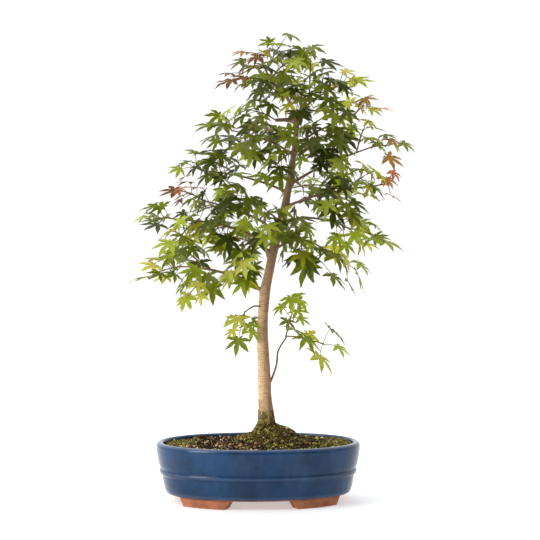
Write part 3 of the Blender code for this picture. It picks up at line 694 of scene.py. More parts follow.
# ---------------------------------------------------------------- growth
class Room:
    """What already takes up room, so that no new leaf or shoot grows through it."""

    def __init__(self):
        self.taken = []

    @staticmethod
    def shape(points, faces):
        middle = sum(points, Vector()) / len(points)
        reach = max((p - middle).length for p in points)
        return middle, reach, BVHTree.FromPolygons(points, faces)

    def free(self, shapes):
        for middle, reach, tree in shapes:
            for other_middle, other_reach, other in self.taken:
                if (middle - other_middle).length < reach + other_reach and tree.overlap(other):
                    return False
        return True

    def take(self, shapes):
        self.taken += shapes


def skin(rings):
    """The points and faces of a closed tube over rings, for Room."""
    sides = len(rings[0])
    points = [p for ring in rings for p in ring]
    faces = [tuple(range(sides)), tuple(range(len(points) - sides, len(points)))]
    for r in range(len(rings) - 1):
        for i in range(sides):
            j = (i + 1) % sides
            faces.append((r * sides + i, r * sides + j, (r + 1) * sides + j, (r + 1) * sides + i))
    return points, faces


def trunk_ring(sides, row):
    """The trunk's own section at one of its stations."""
    x, y, height, radius = TRUNK[row]
    fade = max(0.0, 1.0 - row / 6)
    ring = []
    for i in range(sides):
        turn = 2 * math.pi * i / sides
        reach = radius * (1 + ROOT_LOBE_DEPTH * fade * math.cos(ROOT_LOBES * turn))
        ring.append(POT_AT + Vector((x + reach * math.cos(turn), y + reach * math.sin(turn), height)))
    return ring


def limb_path(limb):
    path = [POT_AT + p for p in smooth_path(limb.points, 3)]
    last = len(path) - 1
    radii = [limb.thick + (limb.thin - limb.thick) * i / last for i in range(last + 1)]
    return path, radii


def frame_along(ahead):
    """Right and up for a direction, with right kept level."""
    level = Vector((0, 0, 1)) if abs(ahead.z) < 0.97 else Vector((0, 1, 0))
    right = ahead.cross(level).normalized()
    return right, right.cross(ahead)


def square(centre, right, up, half):
    return [
        centre + right * half + up * half,
        centre - right * half + up * half,
        centre - right * half - up * half,
        centre + right * half - up * half,
    ]


def shoot_rings(start, tip, arch, pairs, extra=0.0):
    """Square rings along an arched shoot, two close together where each pair of leaves grows."""
    bend = start.lerp(tip, 0.5) + arch
    length = (tip - start).length
    stations = [0.0]
    for pair in range(pairs):
        at = FIRST_PAIR + (0.94 - FIRST_PAIR) * pair / max(pairs - 1, 1) if pairs > 1 else 0.62
        stations += [at - NODE_LENGTH / 2 / length, at + NODE_LENGTH / 2 / length]
    stations.append(1.0)
    rings = []
    for t in stations:
        spot = start * (1 - t) ** 2 + bend * 2 * t * (1 - t) + tip * t**2
        ahead = ((bend - start) * (1 - t) + (tip - bend) * t).normalized()
        right, up = frame_along(ahead)
        half = SHOOT_RADII[0] + (SHOOT_RADII[1] - SHOOT_RADII[0]) * t + extra
        rings.append(square(spot, right, up, half))
    return rings


def place_shoot(spray, room, rng):
    """The shoot's rings, its foot moved out until it just clears the bark."""
    limb = next(limb for limb in LIMBS if limb.name == spray.limb)
    path, _ = limb_path(limb)
    where = spray.along * (len(path) - 1)
    low = min(int(where), len(path) - 2)
    axis = path[low].lerp(path[low + 1], where - low)
    tip = POT_AT + Vector(spray.tip)
    away = (tip - axis).normalized()
    rings = None
    for attempt in range(TRIES):
        arch = Vector((rng.uniform(-1, 1), rng.uniform(-1, 1), rng.uniform(-1, 1))) * 0.012 * (attempt > 0)
        arch.z += SHOOT_ARCH * (tip - axis).length
        start = axis.copy()
        for _ in range(24):
            rings = shoot_rings(start, tip, arch, spray.pairs, CLEARANCE)
            if room.free([room.shape(*skin(rings))]):
                room.take([room.shape(*skin(rings))])
                return shoot_rings(start, tip, arch, spray.pairs)
            start += away * 0.0004
    raise ValueError(f"no way clear for the shoot on {spray.limb} to {spray.tip}")


def star_points(leaf, grow=1.0):
    """The leaf's outline, its lobes hanging below its heart."""
    points = []
    for turn, reach in LEAF_STAR:
        ahead = math.cos(math.radians(turn)) * reach * leaf.length * grow
        aside = math.sin(math.radians(turn)) * reach * leaf.length * grow
        sag = leaf.curl * leaf.length * reach**2
        points.append(leaf.stalk + leaf.forward * ahead + leaf.right * aside - leaf.up * sag)
    return points


def leaf_shapes(leaf):
    """The leaf's blade and stalk, a little larger than they are, for Room."""
    outline = star_points(leaf, 1.04)
    heart = leaf.stalk + leaf.forward * LEAF_HEART * leaf.length
    thick = leaf.up * (LEAF_HALF_THICK + CLEARANCE)
    points = [heart + thick, heart - thick, leaf.stalk + thick, leaf.stalk - thick, *outline]
    last = len(points) - 1
    faces = []
    for i in range(4, last):
        faces += [(0, i, i + 1), (1, i + 1, i)]
    faces += [(0, 2, 4), (0, last, 2), (1, 4, 3), (1, 3, last), (2, 3, 4), (2, last, 3)]
    along = (leaf.stalk - leaf.root).normalized()
    right, up = frame_along(along)
    half = STALK_HALF + CLEARANCE
    stalk = [square(p, right, up, half) for p in (leaf.root + along * 0.003, leaf.stalk)]
    return [Room.shape(points, faces), Room.shape(*skin(stalk))]


def grow_leaf(root, out, ahead, spray, room, rng):
    """One leaf on its stalk: turned, tipped and shortened until it finds room, or None."""
    for attempt in range(TRIES):
        wild = 1 + attempt / 12
        swing = rng.uniform(-0.35, 0.35) * wild
        lift = rng.uniform(-0.15, 0.35) * wild
        stalk_length = spray.leaf * rng.uniform(0.50, 1.05)
        length = spray.leaf * rng.uniform(0.80, 1.26) * 0.985**attempt
        droop = math.radians(spray.droop + rng.uniform(-24, 24) * wild)
        roll = rng.uniform(-0.60, 0.60) * wild
        curl = rng.uniform(0.05, 0.20)
        direction = (out + ahead * swing + Vector((0, 0, lift))).normalized()
        stalk = root + direction * stalk_length
        level = direction + ahead * 0.35
        level.z = 0
        level.normalize()
        forward = level * math.cos(droop) - Vector((0, 0, math.sin(droop)))
        right = forward.cross(Vector((0, 0, 1))).normalized()
        up = right.cross(forward)
        right, up = (
            right * math.cos(roll) - up * math.sin(roll),
            up * math.cos(roll) + right * math.sin(roll),
        )
        leaf = Leaf(root, stalk, forward, right, up, length, curl)
        shapes = leaf_shapes(leaf)
        if room.free(shapes):
            room.take(shapes)
            return leaf
    return None


def grow_sprays():
    """Every shoot with its leaves, in the order of SPRAYS."""
    rng = random.Random(SEED)
    room = Room()
    room.take([room.shape(*skin([trunk_ring(TRUNK_SIDES, row) for row in range(len(TRUNK))]))])
    for limb in LIMBS:
        room.take([room.shape(*skin(tube_rings(*limb_path(limb), LIMB_SIDES)))])
    all_rings = [place_shoot(spray, room, rng) for spray in SPRAYS]
    shoots = []
    for spray, rings in zip(SPRAYS, all_rings):
        end = rings[-1]
        centre = sum(end, Vector()) / 4
        ahead = (centre - sum(rings[-2], Vector()) / 4).normalized()
        leaves = [grow_leaf(centre, ahead, Vector(), spray, room, rng)]
        for pair in reversed(range(spray.pairs)):
            near, far = rings[1 + 2 * pair], rings[2 + 2 * pair]
            centre = (sum(near, Vector()) + sum(far, Vector())) / 8
            ahead = (sum(far, Vector()) - sum(near, Vector())).normalized()
            right = (near[0] - near[1]).normalized()
            up = (near[0] - near[3]).normalized()
            across, turned = (up, right) if pair % 2 else (right, up)
            for side in (1, -1):
                out = (across * side * 0.8 + ahead * 0.6 + turned * rng.uniform(-0.5, 0.5)).normalized()
                leaves.append(grow_leaf(centre, out, ahead, spray, room, rng))
        shoots.append(Shoot(rings, [leaf for leaf in leaves if leaf]))
    return shoots


# ---------------------------------------------------------------- pot
# Where the glaze runs thin over an edge: its height, how far to each side, and how thin.
THIN_EDGES = ((0.0745, 0.0030, 0.35), (0.0392, 0.0024, 0.20), (0.0140, 0.0030, 0.20))
# Where the glaze stops above the pot's underside, and how much that line wavers.
GLAZE_STOP = 0.0006
GLAZE_WAVER = 0.0022


def glaze_finish(settings):
    """Glossy blue glaze, thin and pale over edges, ending in a wavy line above bare clay."""
    made = Finish("blue_glaze")
    height = made.height()
    clouds = made.cloud(22.0, 5.0, 0.62)
    streaks = made.cloud(60.0, 4.0, 0.6, (1.0, 1.0, 0.22))
    mottle = made.cloud(420.0, 3.0, 0.6)
    specks = made.cells(520.0).over(0.20, 0.11)
    deep = tuple(part * 0.62 for part in settings.glaze)
    light = tuple(part * 1.30 for part in settings.glaze)
    blue = made.mix(clouds.over(0.30, 0.70), deep, light)
    blue = made.mix(streaks.over(0.42, 0.78) * 0.05, blue, tuple(settings.thin_glaze))
    blue = made.mix(mottle.over(0.45, 0.75) * 0.22, blue, deep)
    edges = sum(height.near(at, reach) * thin for at, reach, thin in THIN_EDGES)
    edges = (edges * (0.5 + mottle)).held()
    blue = made.mix(edges * 0.55, blue, tuple(settings.thin_glaze))
    blue = made.mix(specks * 0.25, blue, (0.010, 0.018, 0.035))
    line = made.cloud(45.0, 2.0) * GLAZE_WAVER + UNDERSIDE + GLAZE_STOP
    glazed = (height - line).over(-0.0002, 0.0003)
    clay = made.mix(mottle, tuple(settings.clay), tuple(part * 0.7 for part in settings.clay))
    ripple = clouds * 0.5 + streaks * 0.15 + mottle * 0.04
    return made.done(
        Base_Color=made.mix(glazed, clay, blue),
        Roughness=0.86 - glazed * (0.74 - mottle * 0.10),
        Coat_Weight=glazed * 0.12,
        Specular_IOR_Level=0.18,
        Normal=made.bump(ripple, 0.30, 0.0012),
    )


def clay_finish(settings):
    """Bare fired clay, sandy, scuffed paler where it stands."""
    made = Finish("bare_clay")
    sand = made.cloud(900.0, 3.0, 0.7)
    clouds = made.cloud(70.0, 4.0, 0.6)
    pits = made.cells(700.0).over(0.26, 0.14)
    dark = tuple(part * 0.58 for part in settings.clay)
    pale = tuple(min(1.0, part * 1.25 + 0.02) for part in settings.clay)
    colour = made.mix(clouds.over(0.30, 0.72), dark, tuple(settings.clay))
    colour = made.mix(sand.over(0.50, 0.78) * 0.6, colour, pale)
    colour = made.mix(pits * 0.5, colour, tuple(part * 0.3 for part in settings.clay))
    colour = made.mix(made.height().near(0.0, 0.0022) * 0.45, colour, pale)
    return made.done(
        Base_Color=colour,
        Roughness=0.78 + sand * 0.16,
        Normal=made.bump(sand - pits * 0.6, 0.5, 0.0005),
    )


def smooth_profile(points, steps):
    """Inset and height pairs with rounded corners."""
    return [(spot.x, spot.y) for spot in smooth_path([(*pair, 0.0) for pair in points], steps)]


def make_pot_body(settings, glaze):
    """The pot, turned from its profile, with a drain hole drilled on each side of its middle."""
    profile = smooth_profile((*reversed(INNER_WALL), *OUTER_WALL), 4)
    drill_sides = 48
    drill_past = 0.01
    solid = Solid()
    solid.loft([oval_ring(inset, height, settings.sides) for inset, height in profile])
    pot = solid.made("pot_body", [glaze], "glaze", ["pot"], 38)
    for side in (-1, 1):
        drill = Solid()
        centre = POT_AT + Vector((side * DRAIN_SPACING / 2, 0, 0))
        rings = []
        for height in (UNDERSIDE - drill_past, FLOOR_TOP + drill_past):
            middle = centre + Vector((0, 0, height))
            turns = [2 * math.pi * i / drill_sides for i in range(drill_sides)]
            rings.append([middle + outward(turn) * DRAIN_RADIUS for turn in turns])
        drill.loft(rings)
        mesh = bpy.data.meshes.new("drain_drill")
        mesh.from_pydata(drill.points, [], drill.faces)
        mesh.materials.append(glaze)
        cutter = bpy.data.objects.new("drain_drill", mesh)
        bpy.context.scene.collection.objects.link(cutter)
        modifier = pot.modifiers.new("drain", "BOOLEAN")
        modifier.operation = "DIFFERENCE"
        modifier.object = cutter
        apply_modifiers(pot)
        bpy.data.objects.remove(cutter, do_unlink=True)


def make_feet(clay):
    """Four curved blocks under the oval's edge, narrower at the ground, with worn edges."""
    solid = Solid()
    low, high = FOOT_TURNS
    corners = ((low, high), (180 - high, 180 - low), (180 + low, 180 + high), (360 - high, 360 - low))
    steps = 20
    for turn_from, turn_to in corners:
        rings = []
        for i in range(steps + 1):
            share = i / steps
            top = math.radians(turn_from + (turn_to - turn_from) * share)
            foot = math.radians(turn_from + FOOT_TAPER + (turn_to - turn_from - 2 * FOOT_TAPER) * share)
            rings.append([
                oval_point(top, FOOT_OUTSIDE - FOOT_FLARE, UNDERSIDE + FOOT_BURIED),
                oval_point(foot, FOOT_OUTSIDE, 0.0),
                oval_point(foot, FOOT_INSIDE, 0.0),
                oval_point(top, FOOT_INSIDE + FOOT_FLARE, UNDERSIDE + FOOT_BURIED),
            ])
        solid.loft(rings)
    feet = solid.made("pot_feet", [clay], "glaze", ["pot"], 35)
    soften = feet.modifiers.new("worn_edges", "BEVEL")
    soften.width = WORN_EDGE
    soften.segments = 3
    soften.limit_method = "ANGLE"
    soften.angle_limit = math.radians(40)
    apply_modifiers(feet)


class BONSAI_OT_pot(bpy.types.Operator):
    """Build the glazed oval pot and its clay feet"""

    bl_idname = "bonsai.pot"
    bl_label = "Pot"

    def execute(self, context):
        settings = context.scene.bonsai_pot
        make_pot_body(settings, glaze_finish(settings))
        make_feet(clay_finish(settings))
        return {"FINISHED"}


# ---------------------------------------------------------------- soil and moss
def wall_inset(height):
    """How far in the pot's inner wall is at a height."""
    (high_in, high), (low_in, low) = INNER_WALL[2], INNER_WALL[3]
    return high_in + (low_in - high_in) * (high - height) / (high - low)


def soil_height(x, y):
    """The soil rises from the pot's wall to a dome just right of the trunk, a little unevenly."""
    out = math.hypot(x - POT_AT.x - SOIL_DOME_AT.x, y - SOIL_DOME_AT.y)
    dome = SOIL_DOME * math.exp(-((out / SOIL_DOME_REACH) ** 2))
    ripple = SOIL_RIPPLE * math.sin(70 * x + 1.3) * math.cos(85 * y)
    return SOIL_EDGE + dome + ripple


def soil_spot(turn, share, lift=0.0):
    """A point of the soil's top, at a turn and a share of the way from the trunk to the wall."""
    hole = TRUNK[1][3] * (1 + ROOT_LOBE_DEPTH) + 2 * GAP
    near = POT_AT + TRUNK_FOOT + Vector((hole * math.cos(turn), hole * math.sin(turn), 0))
    wall = oval_point(turn, wall_inset(SOIL_EDGE) + GAP, 0)
    spot = near.lerp(wall, share)
    return Vector((spot.x, spot.y, soil_height(spot.x, spot.y) + lift))


# How uneven the ground is: layers of so many features to the metre, and how deep.
SOIL_CRUMBS = ((240, 0.0007), (70, 0.0009))
MOUND_CRUMBS = ((130, 0.0011), (420, 0.0004))
COLLAR_CRUMBS = ((200, 0.0010), (520, 0.0006))


def crumble(spot, layers):
    return sum(depth * noise.fractal(spot * scale, 0.6, 2.1, 4) for scale, depth in layers)


# The ground's grains from the darkest to the palest: how common each is, and its colour.
EARTH_STOPS = (
    (0.00, (0.005, 0.002, 0.001)), (0.34, (0.022, 0.009, 0.003)), (0.54, (0.065, 0.028, 0.009)),
    (0.70, (0.200, 0.096, 0.034)), (0.84, (0.500, 0.320, 0.140)), (0.95, (0.860, 0.720, 0.480)),
)
MOSS_STOPS = (
    (0.00, (0.008, 0.006, 0.001)), (0.28, (0.034, 0.027, 0.003)), (0.48, (0.105, 0.092, 0.009)),
    (0.66, (0.260, 0.220, 0.018)), (0.84, (0.480, 0.420, 0.060)), (0.96, (0.800, 0.740, 0.380)),
)
GRAIN_CELLS = 640.0


def ground_shades(made, pick):
    """The colour of a grain of earth and of a leaflet of moss, for a pick from 0 to 1."""
    brown = made.node("ShaderNodeValToRGB", {"stops": EARTH_STOPS}, {0: pick})
    green = made.node("ShaderNodeValToRGB", {"stops": MOSS_STOPS}, {0: pick})
    return brown, green


def ground_finish(name, mossy):
    """Crumbly ground, grain by grain: bare earth, with wider patches of moss the mossier it is, and painted
    shade in the gaps between grains.
    """
    made = Finish(name)
    fine = made.cloud(2400.0, 4.0, 0.7)
    grain = made.node("ShaderNodeSeparateXYZ", None, {0: made.cells(GRAIN_CELLS, out="Color")}, out=0)
    brown, green = ground_shades(made, (grain * 0.85 + fine * 0.5 - 0.18).held())
    patches = made.cloud(90.0, 5.0, 0.65)
    colour = made.mix((patches + mossy).over(0.46, 0.56), brown, green)
    gaps = made.cells(GRAIN_CELLS).over(0.42, 0.80)
    # painted shade: the gaps between grains are darkened almost to black
    colour = made.mix(gaps * 0.85, colour, (0.006, 0.004, 0.002))
    return made.done(
        Base_Color=colour,
        Roughness=0.94 - grain * 0.16,
        Specular_IOR_Level=0.10,
        Normal=made.bump(fine * 0.4 - gaps, 0.9, 0.0012),
    )


def grain_finish(name):
    """Loose grains or leaflets, each of one colour from its tone; its third tone is how mossy it is."""
    made = Finish(name)
    fine = made.cloud(2600.0, 3.0, 0.7)
    tip = made.attribute("place", 2)
    pick = made.attribute("tone", 0) + tip * 0.22 + fine * 0.16 - 0.08
    brown, green = ground_shades(made, pick.held())
    colour = made.mix(made.attribute("tone", 2), brown, green)
    return made.done(
        Base_Color=made.mix(fine.over(0.66, 0.34) * 0.45, colour, (0.008, 0.005, 0.002)),
        Roughness=0.92 - made.attribute("tone", 1) * 0.30,
        Specular_IOR_Level=0.12,
        Normal=made.bump(fine, 0.6, 0.0004),
    )


def mossy_at(spot, turn):
    """Whether moss grows at a place on the soil: in patches, and more on the right."""
    return noise.noise(spot * 60) + 0.35 * math.cos(turn) > 0.02


def ground_spot(turn, share):
    """A point on top of the soil or of the mound on it."""
    fall = min(1.0, 5 * max(0.0, 1 - share / MOUND_REACH))
    return soil_spot(turn, share, mound_height(turn, share) * fall)


def make_soil(finish):
    """The filling of the pot: an uneven crumbly top, the pot's inner shape below."""
    sides, rings = 150, 44
    bottom = FLOOR_TOP + 2 * GAP
    solid = Solid()
    low = [oval_point(2 * math.pi * i / sides, INNER_WALL[4][0] + GAP, bottom) for i in range(sides)]
    corner = oval_ring(INNER_WALL[3][0] + 2 * GAP, INNER_WALL[3][1] + GAP, sides)
    levels = [low, corner]
    for step in reversed(range(rings + 1)):
        share = step / rings
        edge = min(1.0, 6 * share, 8 * (1 - share))
        level = []
        for i in range(sides):
            spot = soil_spot(2 * math.pi * i / sides, share)
            level.append(spot + Vector((0, 0, edge * crumble(spot, SOIL_CRUMBS))))
        levels.append(level)
    levels.append([Vector((p.x, p.y, TRUNK_FOOT.z - 2 * GAP)) for p in levels[-1]])
    solid.loft(levels)
    solid.made("soil_bed", [finish], "soil", ["soil"], 80)


# A grain: its top, five corners round its middle, and its bottom.
GRAIN_POINTS = (
    (0, 0, 1),
    (0.9, 0, 0.1), (0.25, 0.85, 0), (-0.75, 0.55, 0.1), (-0.7, -0.6, -0.1), (0.3, -0.9, 0.05),
    (0, 0, -0.9),
)
GRAIN_FACES = (
    (0, 1, 2), (0, 2, 3), (0, 3, 4), (0, 4, 5), (0, 5, 1),
    (6, 2, 1), (6, 3, 2), (6, 4, 3), (6, 5, 4), (6, 1, 5),
)


def make_grains(settings, finish):
    """Loose grains and pebbles, half sunk in the soil's top."""
    rng = random.Random(DETAIL_SEED)
    solid = Solid()
    for _ in range(settings.grains):
        turn = rng.uniform(0, 2 * math.pi)
        share = math.sqrt(rng.uniform(0.004, 0.95))
        size = settings.grain_size * math.exp(rng.gauss(0, 0.36))
        spot = ground_spot(turn, share) + Vector((0, 0, size * rng.uniform(0.0, 0.6)))
        mossy = mossy_at(spot, turn) and rng.random() < 0.75
        tone = (rng.betavariate(1.0, 1.25), rng.random(), float(mossy))
        spin = rng.uniform(0, 2 * math.pi)
        flat = rng.uniform(0.55, 0.95)
        corners = []
        for x, y, z in GRAIN_POINTS:
            wide = 1 + rng.uniform(-0.28, 0.28)
            corners.append(solid.point(spot + Vector((
                (x * math.cos(spin) - y * math.sin(spin)) * size * wide,
                (x * math.sin(spin) + y * math.cos(spin)) * size * wide,
                z * size * flat,
            )), tone))
        for face in GRAIN_FACES:
            solid.face([corners[i] for i in face])
    solid.made("soil_grains", [finish], "soil", ["soil"], 20)


def mound_height(turn, share):
    """How far the mound of moss rises over the soil, from the trunk outwards."""
    place = 0
    while place < len(MOUND_RISE) - 1 and share > SOIL_RINGS[place + 1]:
        place += 1
    if place >= len(MOUND_RISE) - 1:
        return 0.0
    span = (share - SOIL_RINGS[place]) / (SOIL_RINGS[place + 1] - SOIL_RINGS[place])
    rise = MOUND_RISE[place] + (MOUND_RISE[place + 1] - MOUND_RISE[place]) * span
    uneven = 1 + MOUND_LEAN * math.cos(turn - 0.4) + 0.12 * math.sin(5 * turn + place + span)
    return rise * uneven


def collar_edge(turn):
    """The mound's top edge, where it meets the trunk."""
    x, y, _, radius = TRUNK[4]
    return POT_AT + Vector((x, y, COLLAR_HEIGHT)) + outward(turn) * (radius + 3 * GAP)


def make_mound(finish):
    """The cushion of moss round the foot of the trunk, thin at its rim."""
    sides, steps = 144, 22
    sunk, clear = -0.0008, 0.0002
    solid = Solid()
    under = [soil_spot(2 * math.pi * i / sides, MOUND_REACH, sunk) for i in range(sides)]
    inner = [soil_spot(2 * math.pi * i / sides, 0.0, sunk) for i in range(sides)]
    levels = [inner, under]
    for step in reversed(range(steps + 1)):
        share = MOUND_REACH * step / steps
        fall = min(1.0, 5 * (1 - step / steps))
        level = []
        for i in range(sides):
            turn = 2 * math.pi * i / sides
            spot = soil_spot(turn, share, mound_height(turn, share) * fall + clear)
            level.append(spot + Vector((0, 0, crumble(spot, MOUND_CRUMBS) * fall)))
        levels.append(level)
    top = levels[-1]
    for climb in (0.17, 0.35, 0.52, 0.70, 0.85, 1.0):
        level = []
        for i, start in enumerate(top):
            turn = 2 * math.pi * i / sides
            spot = start.lerp(collar_edge(turn), climb)
            level.append(spot + outward(turn) * crumble(spot, COLLAR_CRUMBS) * (1 - climb))
        levels.append(level)
    loops = [solid.ring(level) for level in levels]
    for low, high in zip(loops, loops[1:] + loops[:1]):
        solid.band(low, high)
    solid.made("moss_mound_top", [finish], "moss", ["moss_mound"], 80)


# The flat cushions of moss: their first and last sectors of the soil, and how high they swell.
CUSHIONS = {"moss_cushion_right": (-3, 3, 0.0045), "moss_cushion_left": (15, 19, 0.0034)}
CUSHION_SUNK = -0.0012


def cushion_spot(name, u, v):
    """The turn, share and swell of a cushion at u and v, which run from 0 to 1 over it."""
    first, last, rise = CUSHIONS[name]
    turn = 2 * math.pi * (first + (last - first) * u) / SOIL_SIDES
    share = SOIL_RINGS[4] + (SOIL_RINGS[6] - 0.02 - SOIL_RINGS[4]) * v
    round_off = max(0.0, 1 - (2 * u - 1) ** 2 - (2 * v - 1) ** 2) ** 0.5
    return turn, share, rise * round_off


def make_cushion(name, finish):
    """A low cushion of moss, closed below by a sheet just under the soil's top."""
    cells_u, cells_v = 30, 18
    solid = Solid()
    sheets = []
    for over in (False, True):
        rows = []
        for j in range(cells_v + 1):
            row = []
            for i in range(cells_u + 1):
                turn, share, swell = cushion_spot(name, i / cells_u, j / cells_v)
                spot = soil_spot(turn, share)
                uneven = 1 + 0.35 * noise.fractal(spot * 160, 0.6, 2.1, 3)
                puff = swell * uneven if over else CUSHION_SUNK
                row.append(solid.point(spot + Vector((0, 0, puff))))
            rows.append(row)
        sheets.append(rows)
    for over, rows in enumerate(sheets):
        for near, far in zip(rows, rows[1:]):
            for i in range(cells_u):
                corners = (near[i], near[i + 1], far[i + 1], far[i])
                solid.face(corners if not over else corners[::-1])

    def rim(rows):
        out = rows[0] + [row[-1] for row in rows[1:]]
        back = rows[-1][-2::-1] + [row[0] for row in rows[-2:0:-1]]
        return out + back

    lower, upper = rim(sheets[0]), rim(sheets[1])
    solid.band(upper, lower)
    solid.made(name + "_top", [finish], "moss", [name], 80)


def add_leaflet(solid, foot, away, height, width, rng):
    """One leaflet of moss: a thin closed spike."""
    spin = rng.uniform(0, 2 * math.pi)
    across = Vector((-math.sin(spin), math.cos(spin), 0)) * width
    deep = Vector((math.cos(spin), math.sin(spin), 0))
    lean = deep * height * rng.uniform(0.2, 0.9)
    tone = (rng.betavariate(1.1, 1.5), rng.random(), float(rng.random() < 0.72))
    corners = [foot - across, foot + across, foot - deep * width * 0.6]
    a, b, c = solid.ring(corners, tone)
    tip = solid.point(foot + away * height + lean, tone, (0.0, 0.0, 1.0))
    for face in ((a, b, tip), (b, c, tip), (c, a, tip), (a, c, b)):
        solid.face(face)


# Shares of the moss leaflets, added up: on the mound, up the trunk's foot, on the cushions; the rest
# grow in patches on the soil.
LEAFLET_SHARES = (0.40, 0.60, 0.73)
LEAFLET_HEIGHTS = (0.0007, 0.0021)
LEAFLET_WIDTHS = (0.0002, 0.0005)
LEAFLET_SUNK = 0.0004


def leaflet_foot(rng):
    """Where a leaflet of moss grows and which way it points, or None where no moss grows."""
    up = Vector((0, 0, 1))
    pick = rng.random()
    turn = rng.uniform(0, 2 * math.pi)
    around = outward(turn)
    if pick < LEAFLET_SHARES[0]:
        return ground_spot(turn, MOUND_REACH * rng.random()), (up * 0.8 + around * 0.5).normalized()
    if pick < LEAFLET_SHARES[1]:
        climb = rng.uniform(0, 2)
        if climb < 1:
            return ground_spot(turn, 0).lerp(collar_edge(turn), climb), (up * 0.4 + around).normalized()
        row = 3.7 + 1.3 * (climb - 1) ** 1.5
        low, high = (Vector(TRUNK[int(row) + step]) for step in (0, 1))
        x, y, height, radius = low.lerp(high, row % 1)
        return POT_AT + Vector((x, y, height)) + around * radius, (up * 0.7 + around * 0.5).normalized()
    if pick < LEAFLET_SHARES[2]:
        name = "moss_cushion_right" if rng.random() < 0.68 else "moss_cushion_left"
        turn, share, swell = cushion_spot(name, rng.random(), rng.random())
        return soil_spot(turn, share, swell), up
    foot = ground_spot(turn, rng.uniform(0.2, 0.95))
    return (foot, up) if mossy_at(foot, turn) else (None, up)


def make_leaflets(settings, finish):
    """The leaflets that stand on the mound, on the two cushions and in patches of the soil."""
    rng = random.Random(DETAIL_SEED + 1)
    solid = Solid()
    made = 0
    while made < settings.leaflets:
        foot, away = leaflet_foot(rng)
        if foot is None:
            continue
        made += 1
        height = rng.uniform(*LEAFLET_HEIGHTS)
        width = rng.uniform(*LEAFLET_WIDTHS)
        add_leaflet(solid, foot - away * LEAFLET_SUNK, away, height, width, rng)
    solid.made("moss_blades", [finish], "moss", ["moss_mound"], 30)


class BONSAI_OT_soil(bpy.types.Operator):
    """Fill the pot with soil and strew loose grains on it"""

    bl_idname = "bonsai.soil"
    bl_label = "Soil"

    def execute(self, context):
        settings = context.scene.bonsai_ground
        make_soil(ground_finish("earth", settings.soil_moss))
        make_grains(settings, grain_finish("soil_grains"))
        return {"FINISHED"}


class BONSAI_OT_moss(bpy.types.Operator):
    """Lay the moss round the trunk and on the soil"""

    bl_idname = "bonsai.moss"
    bl_label = "Moss"

    def execute(self, context):
        settings = context.scene.bonsai_ground
        bed = ground_finish("moss_bed", settings.mound_moss)
        make_mound(bed)
        for name in CUSHIONS:
            make_cushion(name, bed)
        make_leaflets(settings, grain_finish("moss_leaflets"))
        return {"FINISHED"}


# ---------------------------------------------------------------- drainage
def plastic_finish():
    made = Finish("drainage_plastic")
    grain = made.cloud(1400.0, 3.0, 0.6)
    colour = made.mix(grain, (0.012, 0.012, 0.013), (0.034, 0.034, 0.036))
    return made.done(
        Base_Color=colour, Roughness=0.46 + grain * 0.2, Normal=made.bump(grain, 0.3, 0.0003)
    )


STRANDS = 13
STRAND_RADIUS = 0.00042
STRAND_LIFT = 0.00018
LATTICE_MARGIN = 0.0012


def make_lattice(name, side, finish):
    """A square of moulded plastic mesh over one drain hole."""
    pitch = (MESH_SIDE - LATTICE_MARGIN) / (STRANDS - 1)
    steps = 12
    centre = POT_AT + Vector((side * DRAIN_SPACING / 2, 0, FLOOR_TOP + GAP + MESH_THICK / 2))
    solid = Solid()
    for cross in (False, True):
        level = Vector((0, 0, STRAND_LIFT if cross else -STRAND_LIFT))
        for k in range(STRANDS):
            offset = (k - (STRANDS - 1) / 2) * pitch
            ends = []
            for reach in (-MESH_SIDE / 2, MESH_SIDE / 2):
                aside = Vector((offset, reach, 0)) if cross else Vector((reach, offset, 0))
                ends.append(centre + level + aside)
            path = [ends[0].lerp(ends[1], t / steps) for t in range(steps + 1)]
            solid.loft(tube_rings(path, [STRAND_RADIUS] * len(path), 8))
    solid.made(name + "_lattice", [finish], "drainage_mesh", [name], 60)


class BONSAI_OT_drainage(bpy.types.Operator):
    """Lay a plastic mesh over each drain hole"""

    bl_idname = "bonsai.drainage"
    bl_label = "Drainage mesh"

    def execute(self, context):
        finish = plastic_finish()
        for name, side in (("drainage_mesh_left", -1), ("drainage_mesh_right", 1)):
            make_lattice(name, side, finish)
        return {"FINISHED"}


# ---------------------------------------------------------------- wood
# Small swellings on the trunk where old buds and twigs were: height, turn in degrees and size.
KNOTS = (
    (0.128, 200, 0.0010), (0.152, 330, 0.0013), (0.176, 240, 0.0008), (0.199, 20, 0.0010),
    (0.214, 262, 0.0011), (0.236, 310, 0.0010), (0.252, 150, 0.0012), (0.279, 285, 0.0009),
    (0.300, 60, 0.0012), (0.322, 230, 0.0010), (0.348, 320, 0.0009), (0.371, 200, 0.0008),
    (0.398, 290, 0.0008), (0.425, 120, 0.0007), (0.455, 250, 0.0006),
)
KNOT_SPREAD = 2.0
# The trunk's unevenness: features round it, features to the metre up it, and how deep.
TRUNK_RIPPLES = ((1.6, 26, 0.00045), (5, 210, 0.00016))
# The swelling where a limb leaves the trunk: how far along the limb's first stretch its middle is,
# and how high and how wide it is, both as shares of the limb's thickness.
COLLAR_ALONG = 0.18
COLLAR_SWELL = 0.7
COLLAR_SPREAD = 1.9
# The heights between which the trunk's bark turns from pale to brown, and how brown it gets.
TRUNK_BROWNS = (0.235, 0.380)
BROWNEST = 0.85
# How brown each limb's bark is, where it is less than that.
LIMB_BROWN = {
    "left_1": 0.45, "left_2": 0.65, "left_3": 0.7, "leader": 0.35, "old_cut": 0.55, "right_top": 0.6,
}


